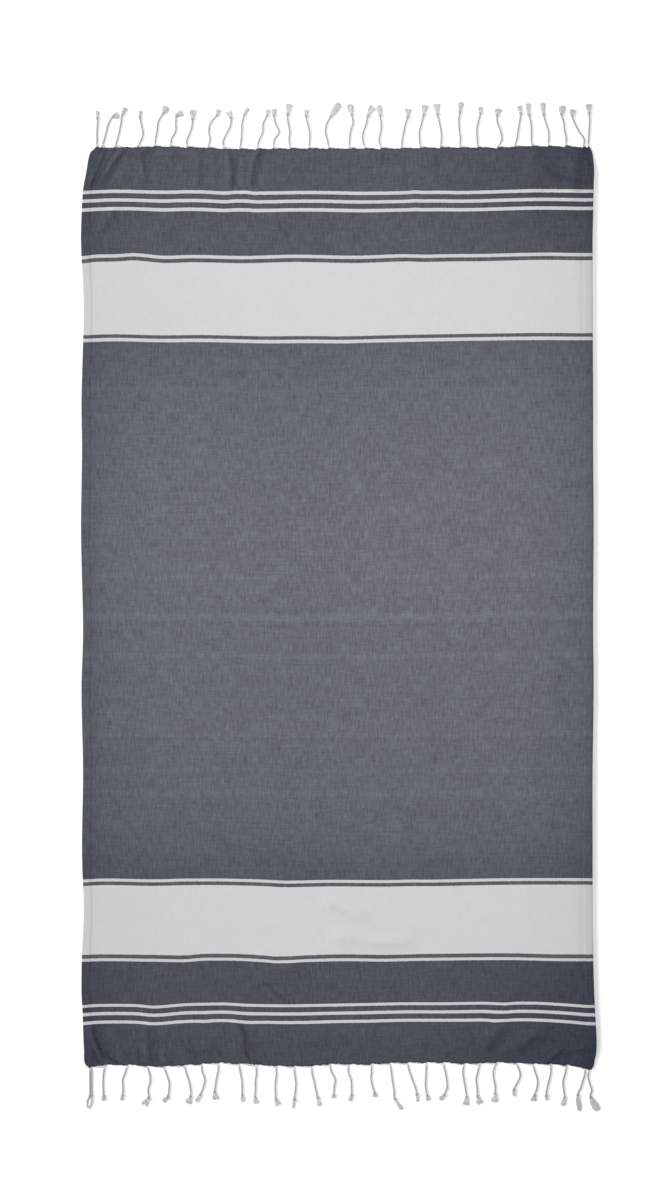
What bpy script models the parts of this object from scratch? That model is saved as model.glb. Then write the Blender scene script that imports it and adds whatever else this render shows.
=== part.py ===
"""Hammam towel laid out flat: one long woven cloth with hemmed sides and a knotted fringe at each end.

X runs across the towel, Y along it (its far end is at +Y) and Z up. The towel lies on the plane Z = 0.
Named sizes are in metres. The tables give millimetres, which is how such a cloth is measured.
"""

import math
from collections import namedtuple

import bmesh
import bpy

MM = 0.001

# The cloth
CLOTH_WIDTH = 1.000
CLOTH_LENGTH = 1.795
CLOTH_THICKNESS = 0.0015
HEM_WIDTH = 0.015
HEM_STEP = 0.002
HEM_RISE = 0.0008
RIGHT_EDGE_LIFT = 0.004
RIGHT_EDGE_CURL = 0.045
END_WAVE_DEPTH = 0.150

# How the lift of the cloth dies away towards its two ends (mm, and a share of a fold's height)
CURL_FADE = 60
PRESS_FADE = 25
END_PRESS = 0.55

# The fringe
FRINGE_GAP = 0.0003
STRIP_DEPTH = 0.002
CORD_WIDTH = 0.0034
CORD_LANDING = 0.9
TANGENT_STEP = 0.01
OUTER_WALL = 2

CLOTH_COLOUR = (0.138, 0.153, 0.184, 1.0)
FRINGE_COLOUR = (0.520, 0.520, 0.515, 1.0)
CLOTH_ROUGHNESS = 0.92
FRINGE_ROUGHNESS = 0.88
SMOOTH_ANGLE = math.radians(40)

# Where the grid of the cloth is close and where it is wide (mm from the middle of the cloth).
Zone = namedtuple("Zone", "start end pitch")
COLUMN_ZONES = (
    Zone(-483, -365, 12),
    Zone(-365, -245, 30),
    Zone(-245, -140, 15),
    Zone(-140, 270, 51),
    Zone(270, 483, 24),
)
ROW_ZONES = (
    Zone(-897.5, -885, 6),
    Zone(-885, -760, 18),
    Zone(-760, -560, 33),
    Zone(-560, 560, 75),
    Zone(560, 760, 33),
    Zone(760, 885, 18),
    Zone(885, 897.5, 6),
)

# The long edges: how far each is drawn in from its straight line, or bulges out where negative (mm).
Side = namedtuple("Side", "along left right")
SIDE_EDGES = (
    Side(-897.5, 14, 3),
    Side(-891, 8, -2),
    Side(-880, 5, -4),
    Side(-866, 5, -7),
    Side(-845, 4, -8),
    Side(-790, 2, -5),
    Side(-751, 0, -3),
    Side(-673, 1, -1),
    Side(-595, 4, 0),
    Side(-478, 1, 0),
    Side(-321, 3, 0),
    Side(-164, 0, -2),
    Side(-47, 3, -1),
    Side(149, -1, -2),
    Side(305, 1, -1),
    Side(403, 0, -1),
    Side(579, 4, 0),
    Side(716, -1, 0),
    Side(765, 0, -1),
    Side(814, 3, -2),
    Side(853, 10, -3),
    Side(877, 14, -1),
    Side(888, 18, 1),
    Side(897.5, 27, 6),
)

# The two ends: how far each wanders towards the far side from its straight line (mm).
End = namedtuple("End", "across far near")
END_EDGES = (
    End(-500, 0, -8),
    End(-479, 0, -5),
    End(-448, 0, -1),
    End(-401, 1, -1),
    End(-354, 2, -4),
    End(-307, 1, -2),
    End(-268, 0, 1),
    End(-229, -2, 3),
    End(-166, -3, 0),
    End(-104, -2, -3),
    End(-57, -2, -3),
    End(-6, -2, 1),
    End(53, -2, 0),
    End(115, -2, 3),
    End(194, 0, 4),
    End(260, 0, 2),
    End(319, 0, 4),
    End(382, 3, 2),
    End(444, 2, -1),
    End(475, 1, -5),
    End(497, 1, -10),
)

# Soft ridges where the cloth doesn't lie quite flat: both ends of the crest, half width and height (mm).
Fold = namedtuple("Fold", "from_x from_y to_x to_y half_width height")
FOLDS = (
    Fold(-462, 897, -482, 835, 12, 2.6),
    Fold(-436, 897, -458, 838, 11, 2.6),
    Fold(-386, 896, -386, 836, 16, 2.4),
    Fold(-270, 896, -270, 838, 20, 1.4),
    Fold(-217, 897, -214, 828, 13, 3.0),
    Fold(-166, 897, -171, 838, 13, 2.6),
    Fold(378, 897, 384, 830, 28, 2.2),
    Fold(466, 897, 458, 820, 24, 3.2),
    Fold(-440, 768, -466, 728, 16, 2.0),
    Fold(-114, 742, -140, 716, 18, 1.8),
    Fold(-12, -580, 36, -600, 20, 2.2),
    Fold(8, -648, 126, -656, 18, 2.0),
    Fold(-136, -716, -92, -706, 18, 1.8),
    Fold(-150, -732, -112, -766, 18, 2.0),
    Fold(-484, -832, -470, -873, 11, 2.8),
    Fold(-470, -873, -452, -897, 11, 2.2),
    Fold(-372, -824, -372, -870, 17, 2.0),
    Fold(-300, -856, -290, -892, 15, 1.8),
    Fold(-196, -830, -182, -866, 14, 3.0),
    Fold(-182, -866, -156, -897, 14, 2.6),
    Fold(306, -836, 280, -866, 24, 2.2),
    Fold(384, -840, 344, -868, 24, 2.4),
    Fold(490, -856, 430, -870, 20, 3.0),
    Fold(430, -870, 410, -890, 20, 2.2),
)

# One row for each cord. Root is its place across the towel. Quarter to tip are how far it has strayed sideways
# from its root there. Reach is the distance to its knot and tail what lies past it (mm).
Cord = namedtuple("Cord", "root quarter half three_quarters knot tip reach tail tuft")
FAR_CORDS = (
    Cord(-470, 0, 0, 1, 1, 1, 57, 15, "slim"),
    Cord(-461, 5, 9, 13, 22, 35, 60, 2, "pad"),
    Cord(-435, 5, 9, 12, 15, 23, 64, 13, "brush"),
    Cord(-391, 8, 11, 8, 5, 7, 57, 14, "slim"),
    Cord(-357, 2, 5, 7, 17, 25, 65, 13, "pad"),
    Cord(-326, 2, 10, 10, 12, 24, 61, 6, "flag"),
    Cord(-294, 0, 6, 10, 11, 12, 56, 17, "flag"),
    Cord(-253, 4, 2, 5, 18, 22, 64, 11, "brush"),
    Cord(-222, -1, 6, 13, 14, 9, 60, 13, "fork"),
    Cord(-191, 3, 4, 5, 9, 17, 66, 14, "slim"),
    Cord(-157, 4, 11, 12, 20, 23, 66, 11, "brush"),
    Cord(-125, 2, 11, 4, 1, 2, 66, 12, "brush"),
    Cord(-92, -2, -1, -4, -5, -1, 67, 20, "fan"),
    Cord(-55, 1, 1, -3, -6, -4, 64, 12, "brush"),
    Cord(-16, -3, -7, -5, 3, 22, 62, 27, "long"),
    Cord(24, 0, 2, 7, 4, 0, 67, 20, "pad"),
    Cord(54, -4, -3, 3, 6, 17, 64, 19, "fork"),
    Cord(86, -4, -1, 0, -2, -3, 65, 21, "leaf"),
    Cord(126, 1, 4, 7, 12, 13, 62, 16, "tee"),
    Cord(163, -2, -2, 2, 6, 9, 64, 20, "fan"),
    Cord(202, 2, 1, -2, -6, -8, 65, 20, "fan"),
    Cord(240, 1, -1, -2, 0, 3, 69, 21, "brush"),
    Cord(275, -1, -2, 1, 5, 5, 67, 13, "brush"),
    Cord(314, 8, 6, 0, -1, 2, 63, 13, "flag"),
    Cord(347, 5, 7, 10, 12, 9, 65, 16, "brush"),
    Cord(381, -1, -1, -2, -6, -8, 61, 23, "brush"),
    Cord(413, 1, 0, -5, -9, -11, 62, 24, "brush"),
    Cord(447, 1, -2, -4, -8, -5, 63, 17, "pad"),
    Cord(482, 1, -9, -17, -22, -20, 61, 13, "pad"),
    Cord(491, 1, 2, 3, 2, 1, 66, 18, "tee"),
)
NEAR_CORDS = (
    Cord(-482, 0, 0, 0, 0, -5, 55, 25, "double"),
    Cord(-454, -3, -4, -4, -3, -3, 59, 10, "ball"),
    Cord(-410, -5, -10, -9, -10, -12, 59, 10, "slim"),
    Cord(-372, 5, 6, 2, 3, -6, 61, 16, "fork"),
    Cord(-339, 5, 10, 10, 7, -2, 59, 9, "brush"),
    Cord(-299, 4, 9, 12, 12, 7, 61, 13, "fan"),
    Cord(-266, 2, 7, 4, -2, -9, 60, 14, "brush"),
    Cord(-232, -1, -4, -6, -8, -5, 56, 15, "tee"),
    Cord(-192, 2, 5, 6, 6, 8, 61, 13, "ball"),
    Cord(-159, 1, -1, -1, -2, 2, 63, 13, "brush"),
    Cord(-120, 1, -1, -1, 0, 6, 65, 12, "fork"),
    Cord(-85, 2, 4, 3, 1, -1, 64, 18, "slim"),
    Cord(-50, 1, 5, 8, 12, 16, 62, 16, "club"),
    Cord(-15, 4, 11, 9, 8, 8, 59, 7, "ball"),
    Cord(22, 0, 5, 6, 6, 3, 60, 12, "brush"),
    Cord(67, 0, -1, 2, 6, 7, 56, 8, "ball"),
    Cord(103, 3, 5, 8, 10, 25, 69, 21, "club"),
    Cord(137, 4, 9, 15, 19, 21, 61, 15, "slim"),
    Cord(174, 0, -1, -1, 2, 5, 64, 10, "brush"),
    Cord(207, 4, 7, 8, 2, -6, 63, 9, "ball"),
    Cord(248, -2, 0, 3, 5, 4, 65, 16, "fan"),
    Cord(279, -4, -7, -5, -4, 1, 64, 15, "fan"),
    Cord(312, -6, -6, -3, -3, -4, 60, 17, "fan"),
    Cord(350, 6, 8, 2, -4, -2, 52, 13, "slim"),
    Cord(382, 5, 10, 9, 4, 2, 62, 11, "fork"),
    Cord(417, 1, -2, -6, -8, -6, 60, 10, "slim"),
    Cord(449, -3, -7, -6, -4, -7, 62, 17, "brush"),
    Cord(486, -2, -6, -10, -15, -11, 52, 32, "leaf"),
    Cord(494, -3, 0, 4, 2, 18, 54, 27, "long"),
)

# Cross-sections of a cord: at counts quarters of its reach, so its knot is at 4 and its tip at 5 (mm).
Section = namedtuple("Section", "at width height")
CORD_SECTIONS = (
    Section(0.35, 3.4, 2.6),
    Section(0.9, 3.4, 3.2),
    Section(1.45, 3.4, 3.2),
    Section(2.0, 3.4, 3.2),
    Section(2.55, 3.4, 3.2),
    Section(3.1, 3.4, 3.2),
    Section(3.55, 3.4, 3.2),
    Section(3.8, 3.6, 3.3),
    Section(3.93, 6.2, 4.8),
    Section(4.08, 6.0, 4.8),
    Section(4.25, 4.4, 3.4),
)
TUFT_SECTIONS = {
    "slim": (Section(4.6, 5.2, 3.2), Section(5.0, 4.6, 1.8)),
    "brush": (Section(4.6, 7.4, 3.4), Section(5.0, 7.6, 2.0)),
    "ball": (Section(4.6, 7.2, 3.6), Section(5.0, 5.0, 2.0)),
    "club": (Section(4.5, 4.6, 3.2), Section(4.8, 8.4, 3.0), Section(5.0, 7.5, 2.0)),
    "fork": (Section(4.6, 7.5, 3.0), Section(5.0, 10.5, 1.8)),
    "flag": (Section(4.5, 8.0, 3.2), Section(5.0, 11.5, 2.0)),
    "fan": (Section(4.6, 8.6, 3.2), Section(5.0, 12.5, 1.8)),
    "tee": (Section(4.6, 6.4, 3.2), Section(4.75, 12.5, 2.6), Section(5.0, 13.0, 1.8)),
    "pad": (Section(4.55, 11.5, 3.4), Section(5.0, 8.5, 2.0)),
    "leaf": (Section(4.5, 9.4, 3.6), Section(5.0, 3.6, 1.8)),
    "long": (Section(4.5, 12.5, 4.0), Section(4.85, 12.0, 3.0), Section(5.0, 9.0, 2.0)),
    "double": (Section(4.55, 13.0, 4.0), Section(5.0, 5.0, 2.0)),
}
CORD_GIRTH = {"double": 1.75}
KNOT_AT = 4
Station = namedtuple("Station", "at drift out")


def smooth_value(table, column, at):
    """Value of one column of a table at a place between its rows, on a smooth curve through the rows."""
    rows = [(row[0], getattr(row, column)) for row in table]
    if at <= rows[0][0]:
        return rows[0][1]
    if at >= rows[-1][0]:
        return rows[-1][1]
    index = max(i for i, row in enumerate(rows) if row[0] <= at)
    start, value = rows[index]
    end, next_value = rows[index + 1]
    span = end - start
    before = rows[max(index - 1, 0)]
    after = rows[min(index + 2, len(rows) - 1)]
    slope = (next_value - before[1]) / (end - before[0])
    next_slope = (after[1] - value) / (after[0] - start)
    t = (at - start) / span
    blend = t * t * (3 - 2 * t)
    leave = t * (1 - t) ** 2 * span * slope
    arrive = t * t * (t - 1) * span * next_slope
    return value + (next_value - value) * blend + leave + arrive


def ease(value):
    """0 up to 0, 1 from 1 on, and a smooth step between them."""
    t = min(max(value, 0.0), 1.0)
    return t * t * (3 - 2 * t)


def stations(zones):
    """Places along one direction of the grid, evenly spaced inside each zone, in mm."""
    places = [zones[0].start]
    for zone in zones:
        count = max(1, round((zone.end - zone.start) / zone.pitch))
        step = (zone.end - zone.start) / count
        places += [zone.start + step * (i + 1) for i in range(count)]
    return places


def fold_height(x, y):
    """How far the folds lift the cloth off the surface at a place given in mm, in mm."""
    lift = 0.0
    for fold in FOLDS:
        run_x = fold.to_x - fold.from_x
        run_y = fold.to_y - fold.from_y
        length = math.hypot(run_x, run_y)
        along = ((x - fold.from_x) * run_x + (y - fold.from_y) * run_y) / length
        aside = abs((x - fold.from_x) * run_y - (y - fold.from_y) * run_x) / length
        past = max(-along, along - length, 0.0)
        fade = 1 - ease(past / (2 * fold.half_width))
        lift = max(lift, fold.height * fade * (1 - ease(aside / fold.half_width)))
    return lift


def cloth_lift(x, y):
    """Height of the underside of the cloth at a place given in mm, in mm."""
    edge_room = (CLOTH_WIDTH / 2 / MM - x) / (RIGHT_EDGE_CURL / MM)
    end_room = CLOTH_LENGTH / 2 / MM - abs(y)
    curl = RIGHT_EDGE_LIFT / MM * ease(1 - edge_room) ** 2 * ease(end_room / CURL_FADE)
    held_down = 1 - END_PRESS * (1 - ease(end_room / PRESS_FADE))
    return max(fold_height(x, y) * held_down, curl)


def cloth_point(column, row):
    """Point of the underside for a nominal place across and along the cloth (mm), in metres."""
    half_width = CLOTH_WIDTH / 2 / MM
    half_length = CLOTH_LENGTH / 2 / MM
    left = -half_width + smooth_value(SIDE_EDGES, "left", row)
    right = half_width - smooth_value(SIDE_EDGES, "right", row)
    x = left + (right - left) * (column + half_width) / (2 * half_width)
    depth = END_WAVE_DEPTH / MM
    far = smooth_value(END_EDGES, "far", x) * ease(1 - (half_length - row) / depth)
    near = smooth_value(END_EDGES, "near", x) * ease(1 - (row + half_length) / depth)
    return x * MM, (row + far + near) * MM, cloth_lift(column, row) * MM


def cloth_columns():
    """Nominal places of the grid's columns, with the two edges and the inner side of each hem, in mm."""
    half_width = CLOTH_WIDTH / 2 / MM
    hem = half_width - HEM_WIDTH / MM
    inner = stations(COLUMN_ZONES)
    return [-half_width, -hem] + inner + [hem, half_width]


def hem_rise(column):
    """What the folded hem adds to the cloth's thickness at a nominal place across it (mm), in metres."""
    into_hem = abs(column) * MM - (CLOTH_WIDTH / 2 - HEM_WIDTH - HEM_STEP)
    return HEM_RISE * ease(into_hem / HEM_STEP)


def make_material(name, colour, roughness):
    """A plain Principled material."""
    material = bpy.data.materials.new(name)
    material.use_nodes = True
    shader = material.node_tree.nodes["Principled BSDF"]
    shader.inputs["Base Color"].default_value = colour
    shader.inputs["Roughness"].default_value = roughness
    shader.inputs["Metallic"].default_value = 0.0
    return material


def add_object(name, bm, material):
    """Turn a bmesh into a named, smooth-shaded object with its faces pointing out."""
    bmesh.ops.recalc_face_normals(bm, faces=bm.faces[:])
    mesh = bpy.data.meshes.new(name)
    bm.to_mesh(mesh)
    bm.free()
    mesh.shade_smooth()
    mesh.set_sharp_from_angle(angle=SMOOTH_ANGLE)
    mesh.materials.append(material)
    item = bpy.data.objects.new(name, mesh)
    bpy.context.collection.objects.link(item)
    return item


def make_cloth(material):
    """The woven cloth: a grid laid on its folds, then thickened upwards with a raised hem on both sides."""
    columns = cloth_columns()
    rows = stations(ROW_ZONES)
    bm = bmesh.new()
    bmesh.ops.create_grid(bm, x_segments=len(columns) - 1, y_segments=len(rows) - 1, size=1.0)
    rise = {}
    for vertex in bm.verts:
        column = columns[round((vertex.co.x + 1) / 2 * (len(columns) - 1))]
        row = rows[round((vertex.co.y + 1) / 2 * (len(rows) - 1))]
        vertex.co = cloth_point(column, row)
        rise[vertex.co.to_tuple(6)] = CLOTH_THICKNESS + hem_rise(column)
    top = bmesh.ops.extrude_face_region(bm, geom=bm.faces[:])
    for vertex in (item for item in top["geom"] if isinstance(item, bmesh.types.BMVert)):
        vertex.co.z += rise[vertex.co.to_tuple(6)]
    return add_object("towel_cloth", bm, material)


def end_edge(side):
    """The cloth's end as a chain of points in metres: side is 1 for the far end and -1 for the near end."""
    row = side * CLOTH_LENGTH / 2 / MM
    return [cloth_point(column, row) for column in cloth_columns()]


def chain_at(chain, x):
    """Point of a chain at a place across the towel, on the straight run between its two neighbours."""
    index = max(i for i, point in enumerate(chain[:-1]) if point[0] <= x or i == 0)
    start = chain[index]
    end = chain[index + 1]
    t = (x - start[0]) / (end[0] - start[0])
    return tuple(a + (b - a) * t for a, b in zip(start, end))


def cord_point(cord, at):
    """Sideways drift and distance out of the cord's root, in mm, on a smooth curve through its row."""
    drifts = (0, cord.quarter, cord.half, cord.three_quarters, cord.knot, cord.tip)
    distances = [cord.reach * count / KNOT_AT for count in range(KNOT_AT + 1)] + [cord.reach + cord.tail]
    route = [Station(count, *place) for count, place in enumerate(zip(drifts, distances))]
    return smooth_value(route, "drift", at), smooth_value(route, "out", at)


def cord_girth(cord):
    """How much thicker than the others a cord is before its knot."""
    return CORD_GIRTH.get(cord.tuft, 1.0)


def cord_ring(bm, cord, section, origin, side):
    """Four corners of a cord's cross-section, standing level on the surface past its root."""
    half_width = section.width / 2 * MM * (cord_girth(cord) if section.at < KNOT_AT else 1.0)
    drift, out = cord_point(cord, section.at)
    drift_before, out_before = cord_point(cord, section.at - TANGENT_STEP)
    drift_after, out_after = cord_point(cord, section.at + TANGENT_STEP)
    run = math.hypot(drift_after - drift_before, out_after - out_before)
    aside_x = (out_after - out_before) / run * half_width
    aside_y = (drift_before - drift_after) / run * half_width * side
    x = origin[0] + drift * MM
    y = origin[1] + out * MM * side
    low = origin[2] * (1 - ease(section.at / CORD_LANDING))
    high = low + section.height * MM
    corners = (
        (x - aside_x, y - aside_y, low),
        (x + aside_x, y + aside_y, low),
        (x + aside_x, y + aside_y, high),
        (x - aside_x, y - aside_y, high),
    )
    return [bm.verts.new(corner) for corner in corners]


def bridge(bm, ring, next_ring, open_wall=None):
    """Four walls between two cross-sections, or three where one wall is left open."""
    for i in range(4):
        if i != open_wall:
            bm.faces.new((ring[i], ring[i - 1], next_ring[i - 1], next_ring[i]))


def grow_cord(bm, cord, root, side):
    """One cord with its knot and tuft, grown from four corners of the strip's outer wall."""
    origin = ((root[0].co.x + root[1].co.x) / 2, (root[0].co.y + root[1].co.y) / 2, root[0].co.z)
    ring = root
    for section in CORD_SECTIONS + TUFT_SECTIONS[cord.tuft]:
        next_ring = cord_ring(bm, cord, section, origin, side)
        bridge(bm, ring, next_ring)
        ring = next_ring
    bm.faces.new(ring)


def root_sides(cord):
    """Left and right side of a cord's root, in metres across the towel."""
    half_width = CORD_WIDTH * cord_girth(cord) / 2
    return cord.root * MM - half_width, cord.root * MM + half_width


def strip_stations(chain, cords):
    """Places along the backing strip, each with the cord whose root starts there or None.

    They are the corners of the cloth's end, but for those inside a root, and the two sides of each root.
    """
    roots = [root_sides(cord) for cord in cords]
    clear = CORD_WIDTH / 4
    corners = [point[0] for point in chain]
    free = [x for x in corners if all(x < left - clear or x > right + clear for left, right in roots)]
    places = [(x, None) for x in free]
    for cord, (left, right) in zip(cords, roots):
        places += [(left, cord), (right, None)]
    return sorted(places, key=lambda place: place[0])


def make_fringe(name, cords, side, material):
    """A narrow backing strip just off the cloth's end, and the cords that grow from its outer wall."""
    chain = end_edge(side)
    inner_y = side * FRINGE_GAP
    outer_y = side * (FRINGE_GAP + STRIP_DEPTH)
    bm = bmesh.new()
    places = strip_stations(chain, cords)
    rings = []
    for x, _ in places:
        y, low = chain_at(chain, x)[1:]
        high = low + CLOTH_THICKNESS
        corners = ((y + inner_y, low), (y + outer_y, low), (y + outer_y, high), (y + inner_y, high))
        rings.append([bm.verts.new((x, place, height)) for place, height in corners])
    for (_, cord), ring, next_ring in zip(places, rings, rings[1:]):
        bridge(bm, ring, next_ring, open_wall=OUTER_WALL if cord else None)
        if cord:
            grow_cord(bm, cord, (ring[1], next_ring[1], next_ring[2], ring[2]), side)
    bm.faces.new(rings[0])
    bm.faces.new(rings[-1])
    return add_object(name, bm, material)


def centre_on_origin(items):
    """Move the finished pieces together so that the middle of their common box is over the origin."""
    corners = [vertex.co for item in items for vertex in item.data.vertices]
    for axis in (0, 1):
        middle = (min(co[axis] for co in corners) + max(co[axis] for co in corners)) / 2
        for item in items:
            item.location[axis] = -middle


def main():
    for item in list(bpy.data.objects):
        bpy.data.objects.remove(item, do_unlink=True)
    cloth_material = make_material("slate_cotton", CLOTH_COLOUR, CLOTH_ROUGHNESS)
    fringe_material = make_material("undyed_cotton", FRINGE_COLOUR, FRINGE_ROUGHNESS)
    pieces = [
        make_cloth(cloth_material),
        make_fringe("fringe_far", FAR_CORDS, 1, fringe_material),
        make_fringe("fringe_near", NEAR_CORDS, -1, fringe_material),
    ]
    centre_on_origin(pieces)


main()
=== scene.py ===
"""Hammam towel laid out flat, dressed for a picture.

The woven cloth with its folds, stripes and stitched side hems, and at each end a fringe of twisted cords
with their knots and loose yarn ends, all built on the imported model's frame. Tables and named sizes are in
millimetres, measured from the middle of the cloth. The settings and what is built are in metres.
"""

import math
from collections import namedtuple

import bpy
import numpy as np
from bpy.props import (
    FloatProperty,
    FloatVectorProperty,
    IntProperty,
    PointerProperty,
)
from bpy.types import Operator, Panel, PropertyGroup
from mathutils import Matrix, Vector


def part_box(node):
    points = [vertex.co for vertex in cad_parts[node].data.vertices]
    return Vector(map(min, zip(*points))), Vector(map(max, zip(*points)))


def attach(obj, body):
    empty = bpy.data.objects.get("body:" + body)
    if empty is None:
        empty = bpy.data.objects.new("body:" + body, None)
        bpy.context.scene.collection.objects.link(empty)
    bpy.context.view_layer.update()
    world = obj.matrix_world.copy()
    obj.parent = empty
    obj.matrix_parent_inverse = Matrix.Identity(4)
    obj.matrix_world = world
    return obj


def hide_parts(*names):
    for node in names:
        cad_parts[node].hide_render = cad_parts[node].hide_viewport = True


bl_info = {
    "name": "Hammam Towel",
    "version": (1, 0, 0),
    "blender": (4, 5, 0),
    "location": "3D View > Sidebar > Hammam Towel",
    "description": "A flat woven towel with stitched hems and fringes of twisted, knotted cords",
    "category": "Object",
}

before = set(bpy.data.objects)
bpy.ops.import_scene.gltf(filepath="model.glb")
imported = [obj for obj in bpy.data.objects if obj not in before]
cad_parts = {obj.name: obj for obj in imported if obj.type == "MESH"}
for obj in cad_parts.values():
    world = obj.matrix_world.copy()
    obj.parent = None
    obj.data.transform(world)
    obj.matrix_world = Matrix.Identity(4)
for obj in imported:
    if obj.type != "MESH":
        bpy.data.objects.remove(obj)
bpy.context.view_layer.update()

MM = 0.001
ENDS = {"far": 1, "near": -1}

# The flat cloth, and how its right edge lifts and its ends are pressed down by their cords
HALF_WIDTH = 500.0
HALF_LENGTH = 897.5
RIGHT_EDGE_LIFT = 4.0
RIGHT_EDGE_CURL = 45.0
CURL_FADE = 60.0
PRESS_FADE = 25.0
END_PRESS = 0.55

# How far in from the ends their scallops reach, and the size of the small teeth on them as a share of theirs
SCALLOP_DEPTH = 14.0
TEETH = 0.18

# How far in from the sides and ends creases reach their full height, and how many of its half widths a
# crease lifts the cloth to
SIDE_CREASE_FADE = 12.0
END_CREASE_FADE = 4.0
CREASE_REACH = 2.3

# The seam of the hems: its distance from the edge and its groove, and the puckers that it pulls in the hem
SEAM_AT = 13.5
SEAM_HALF_WIDTH = 1.3
SEAM_DEPTH = 0.12
PUCKERS_AT = 12.0
PUCKER_REACH = 9.0
PUCKER_HEIGHT = 0.22
PUCKER_LENGTHS = (9, 34)
PUCKER_WAVES = 8

# Rounded rims: how far in from the side and end edges they reach, and what share of the thickness they take
SIDE_RIM = 1.4
END_RIM = 1.2
RIM_ROUNDING = 0.42

# The picture's middle, in mm from the middle of the cloth
PICTURE_MIDDLE = (-6.85, 11.74)


def linear(red, green, blue):
    """A colour given as eight-bit screen values, as the linear colour that Blender works in."""
    shares = [value / 255 for value in (red, green, blue)]
    return tuple(((share + 0.055) / 1.055) ** 2.4 if share > 0.04045 else share / 12.92 for share in shares)


# The long edges: how far each is drawn in from its straight line, or bulges out where negative.
Side = namedtuple("Side", "along left right")
SIDE_EDGES = (
    Side(-897.5, 14, 3),
    Side(-891, 8, -2),
    Side(-880, 5, -4),
    Side(-866, 5, -7),
    Side(-845, 4, -8),
    Side(-790, 2, -5),
    Side(-751, 0, -3),
    Side(-673, 1, -1),
    Side(-595, 4, 0),
    Side(-478, 1, 0),
    Side(-321, 3, 0),
    Side(-164, 0, -2),
    Side(-47, 3, -1),
    Side(149, -1, -2),
    Side(305, 1, -1),
    Side(403, 0, -1),
    Side(579, 4, 0),
    Side(716, -1, 0),
    Side(765, 0, -1),
    Side(814, 3, -2),
    Side(853, 10, -3),
    Side(877, 14, -1),
    Side(888, 18, 1),
    Side(897.5, 27, 6),
)

# The two ends: how far each wanders towards the far side from its straight line.
End = namedtuple("End", "across far near")
END_EDGES = (
    End(-500, 0, -8),
    End(-479, 0, -5),
    End(-448, 0, -1),
    End(-401, 1, -1),
    End(-354, 2, -4),
    End(-307, 1, -2),
    End(-268, 0, 1),
    End(-229, -2, 3),
    End(-166, -3, 0),
    End(-104, -2, -3),
    End(-57, -2, -3),
    End(-6, -2, 1),
    End(53, -2, 0),
    End(115, -2, 3),
    End(194, 0, 4),
    End(260, 0, 2),
    End(319, 0, 4),
    End(382, 3, 2),
    End(444, 2, -1),
    End(475, 1, -5),
    End(497, 1, -10),
)

# Six woven lines of the pattern: where along the cloth each lies, and its turns. A turn is a place across
# the towel and how far the line has wandered there towards the far side.
WovenLine = namedtuple("WovenLine", "along turns")
WOVEN_LINES = (
    WovenLine(
        809.5,
        (
            (-497, -0.5), (-435, 2), (-338, 0), (-298, 1), (-259, 0.5), (-220, -1.5), (-181, 0),
            (-142, -1.5), (-80, -0.5), (-30, -0.5), (54, -2), (190, 0), (250, -0.5), (390, 3), (484, 2),
        ),
    ),
    WovenLine(
        684,
        (
            (-497, -3), (-472, 0), (-430, 1), (-396, 3), (-338, -2), (-280, -0.5), (-181, -2.5),
            (-84, 0), (35, -2), (132, 1), (171, 0), (220, 1), (290, 1.5), (400, 4), (484, 3),
        ),
    ),
    WovenLine(
        520,
        (
            (-497, -0.5), (-435, 1.5), (-348, -0.5), (-259, 0), (-142, -2.5), (-60, -2), (15, -2.5),
            (93, -0.5), (230, 2), (387, 4), (484, 3.5),
        ),
    ),
    WovenLine(
        -537,
        (
            (-497, -1), (-465, 1), (-435, 1), (-357, -0.5), (-298, 1), (-220, 1), (-142, -1),
            (-103, -3), (-10, -1.5), (93, -2), (140, -1), (190, -1), (289, 1), (367, 2), (484, 2),
        ),
    ),
    WovenLine(
        -684,
        (
            (-497, -1), (-455, 0), (-357, -1), (-298, -2), (-259, 1), (-190, 0.5), (-103, -4),
            (-64, -2), (15, 0), (93, -1), (160, 0.5), (289, 2), (347, 2), (430, 0), (484, 0),
        ),
    ),
    WovenLine(
        -780,
        (
            (-497, -3.5), (-470, -1.5), (-396, -1.5), (-357, -4.5), (-298, 0), (-220, 1.5), (-181, -0.5),
            (-103, -2), (54, 0.5), (132, 2), (210, 2), (289, 3), (328, 1.5), (350, 3), (390, 3), (445, 0),
            (484, -3),
        ),
    ),
)

# Places where a fold pulls the woven lines aside: middle, reach each way and how far along the cloth.
Tug = namedtuple("Tug", "across along reach_across reach_along pull")
TUGS = (
    Tug(-201, 812, 12, 60, 0.8),
    Tug(-161, 812, 10, 60, -1.0),
    Tug(-172, -830, 22, 34, -1.8),
    Tug(-259, -824, 14, 26, -1.4),
    Tug(-124, -690, 12, 30, -0.8),
    Tug(152, 812, 10, 60, 1.0),
    Tug(306, -828, 14, 26, -1.8),
)

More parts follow.
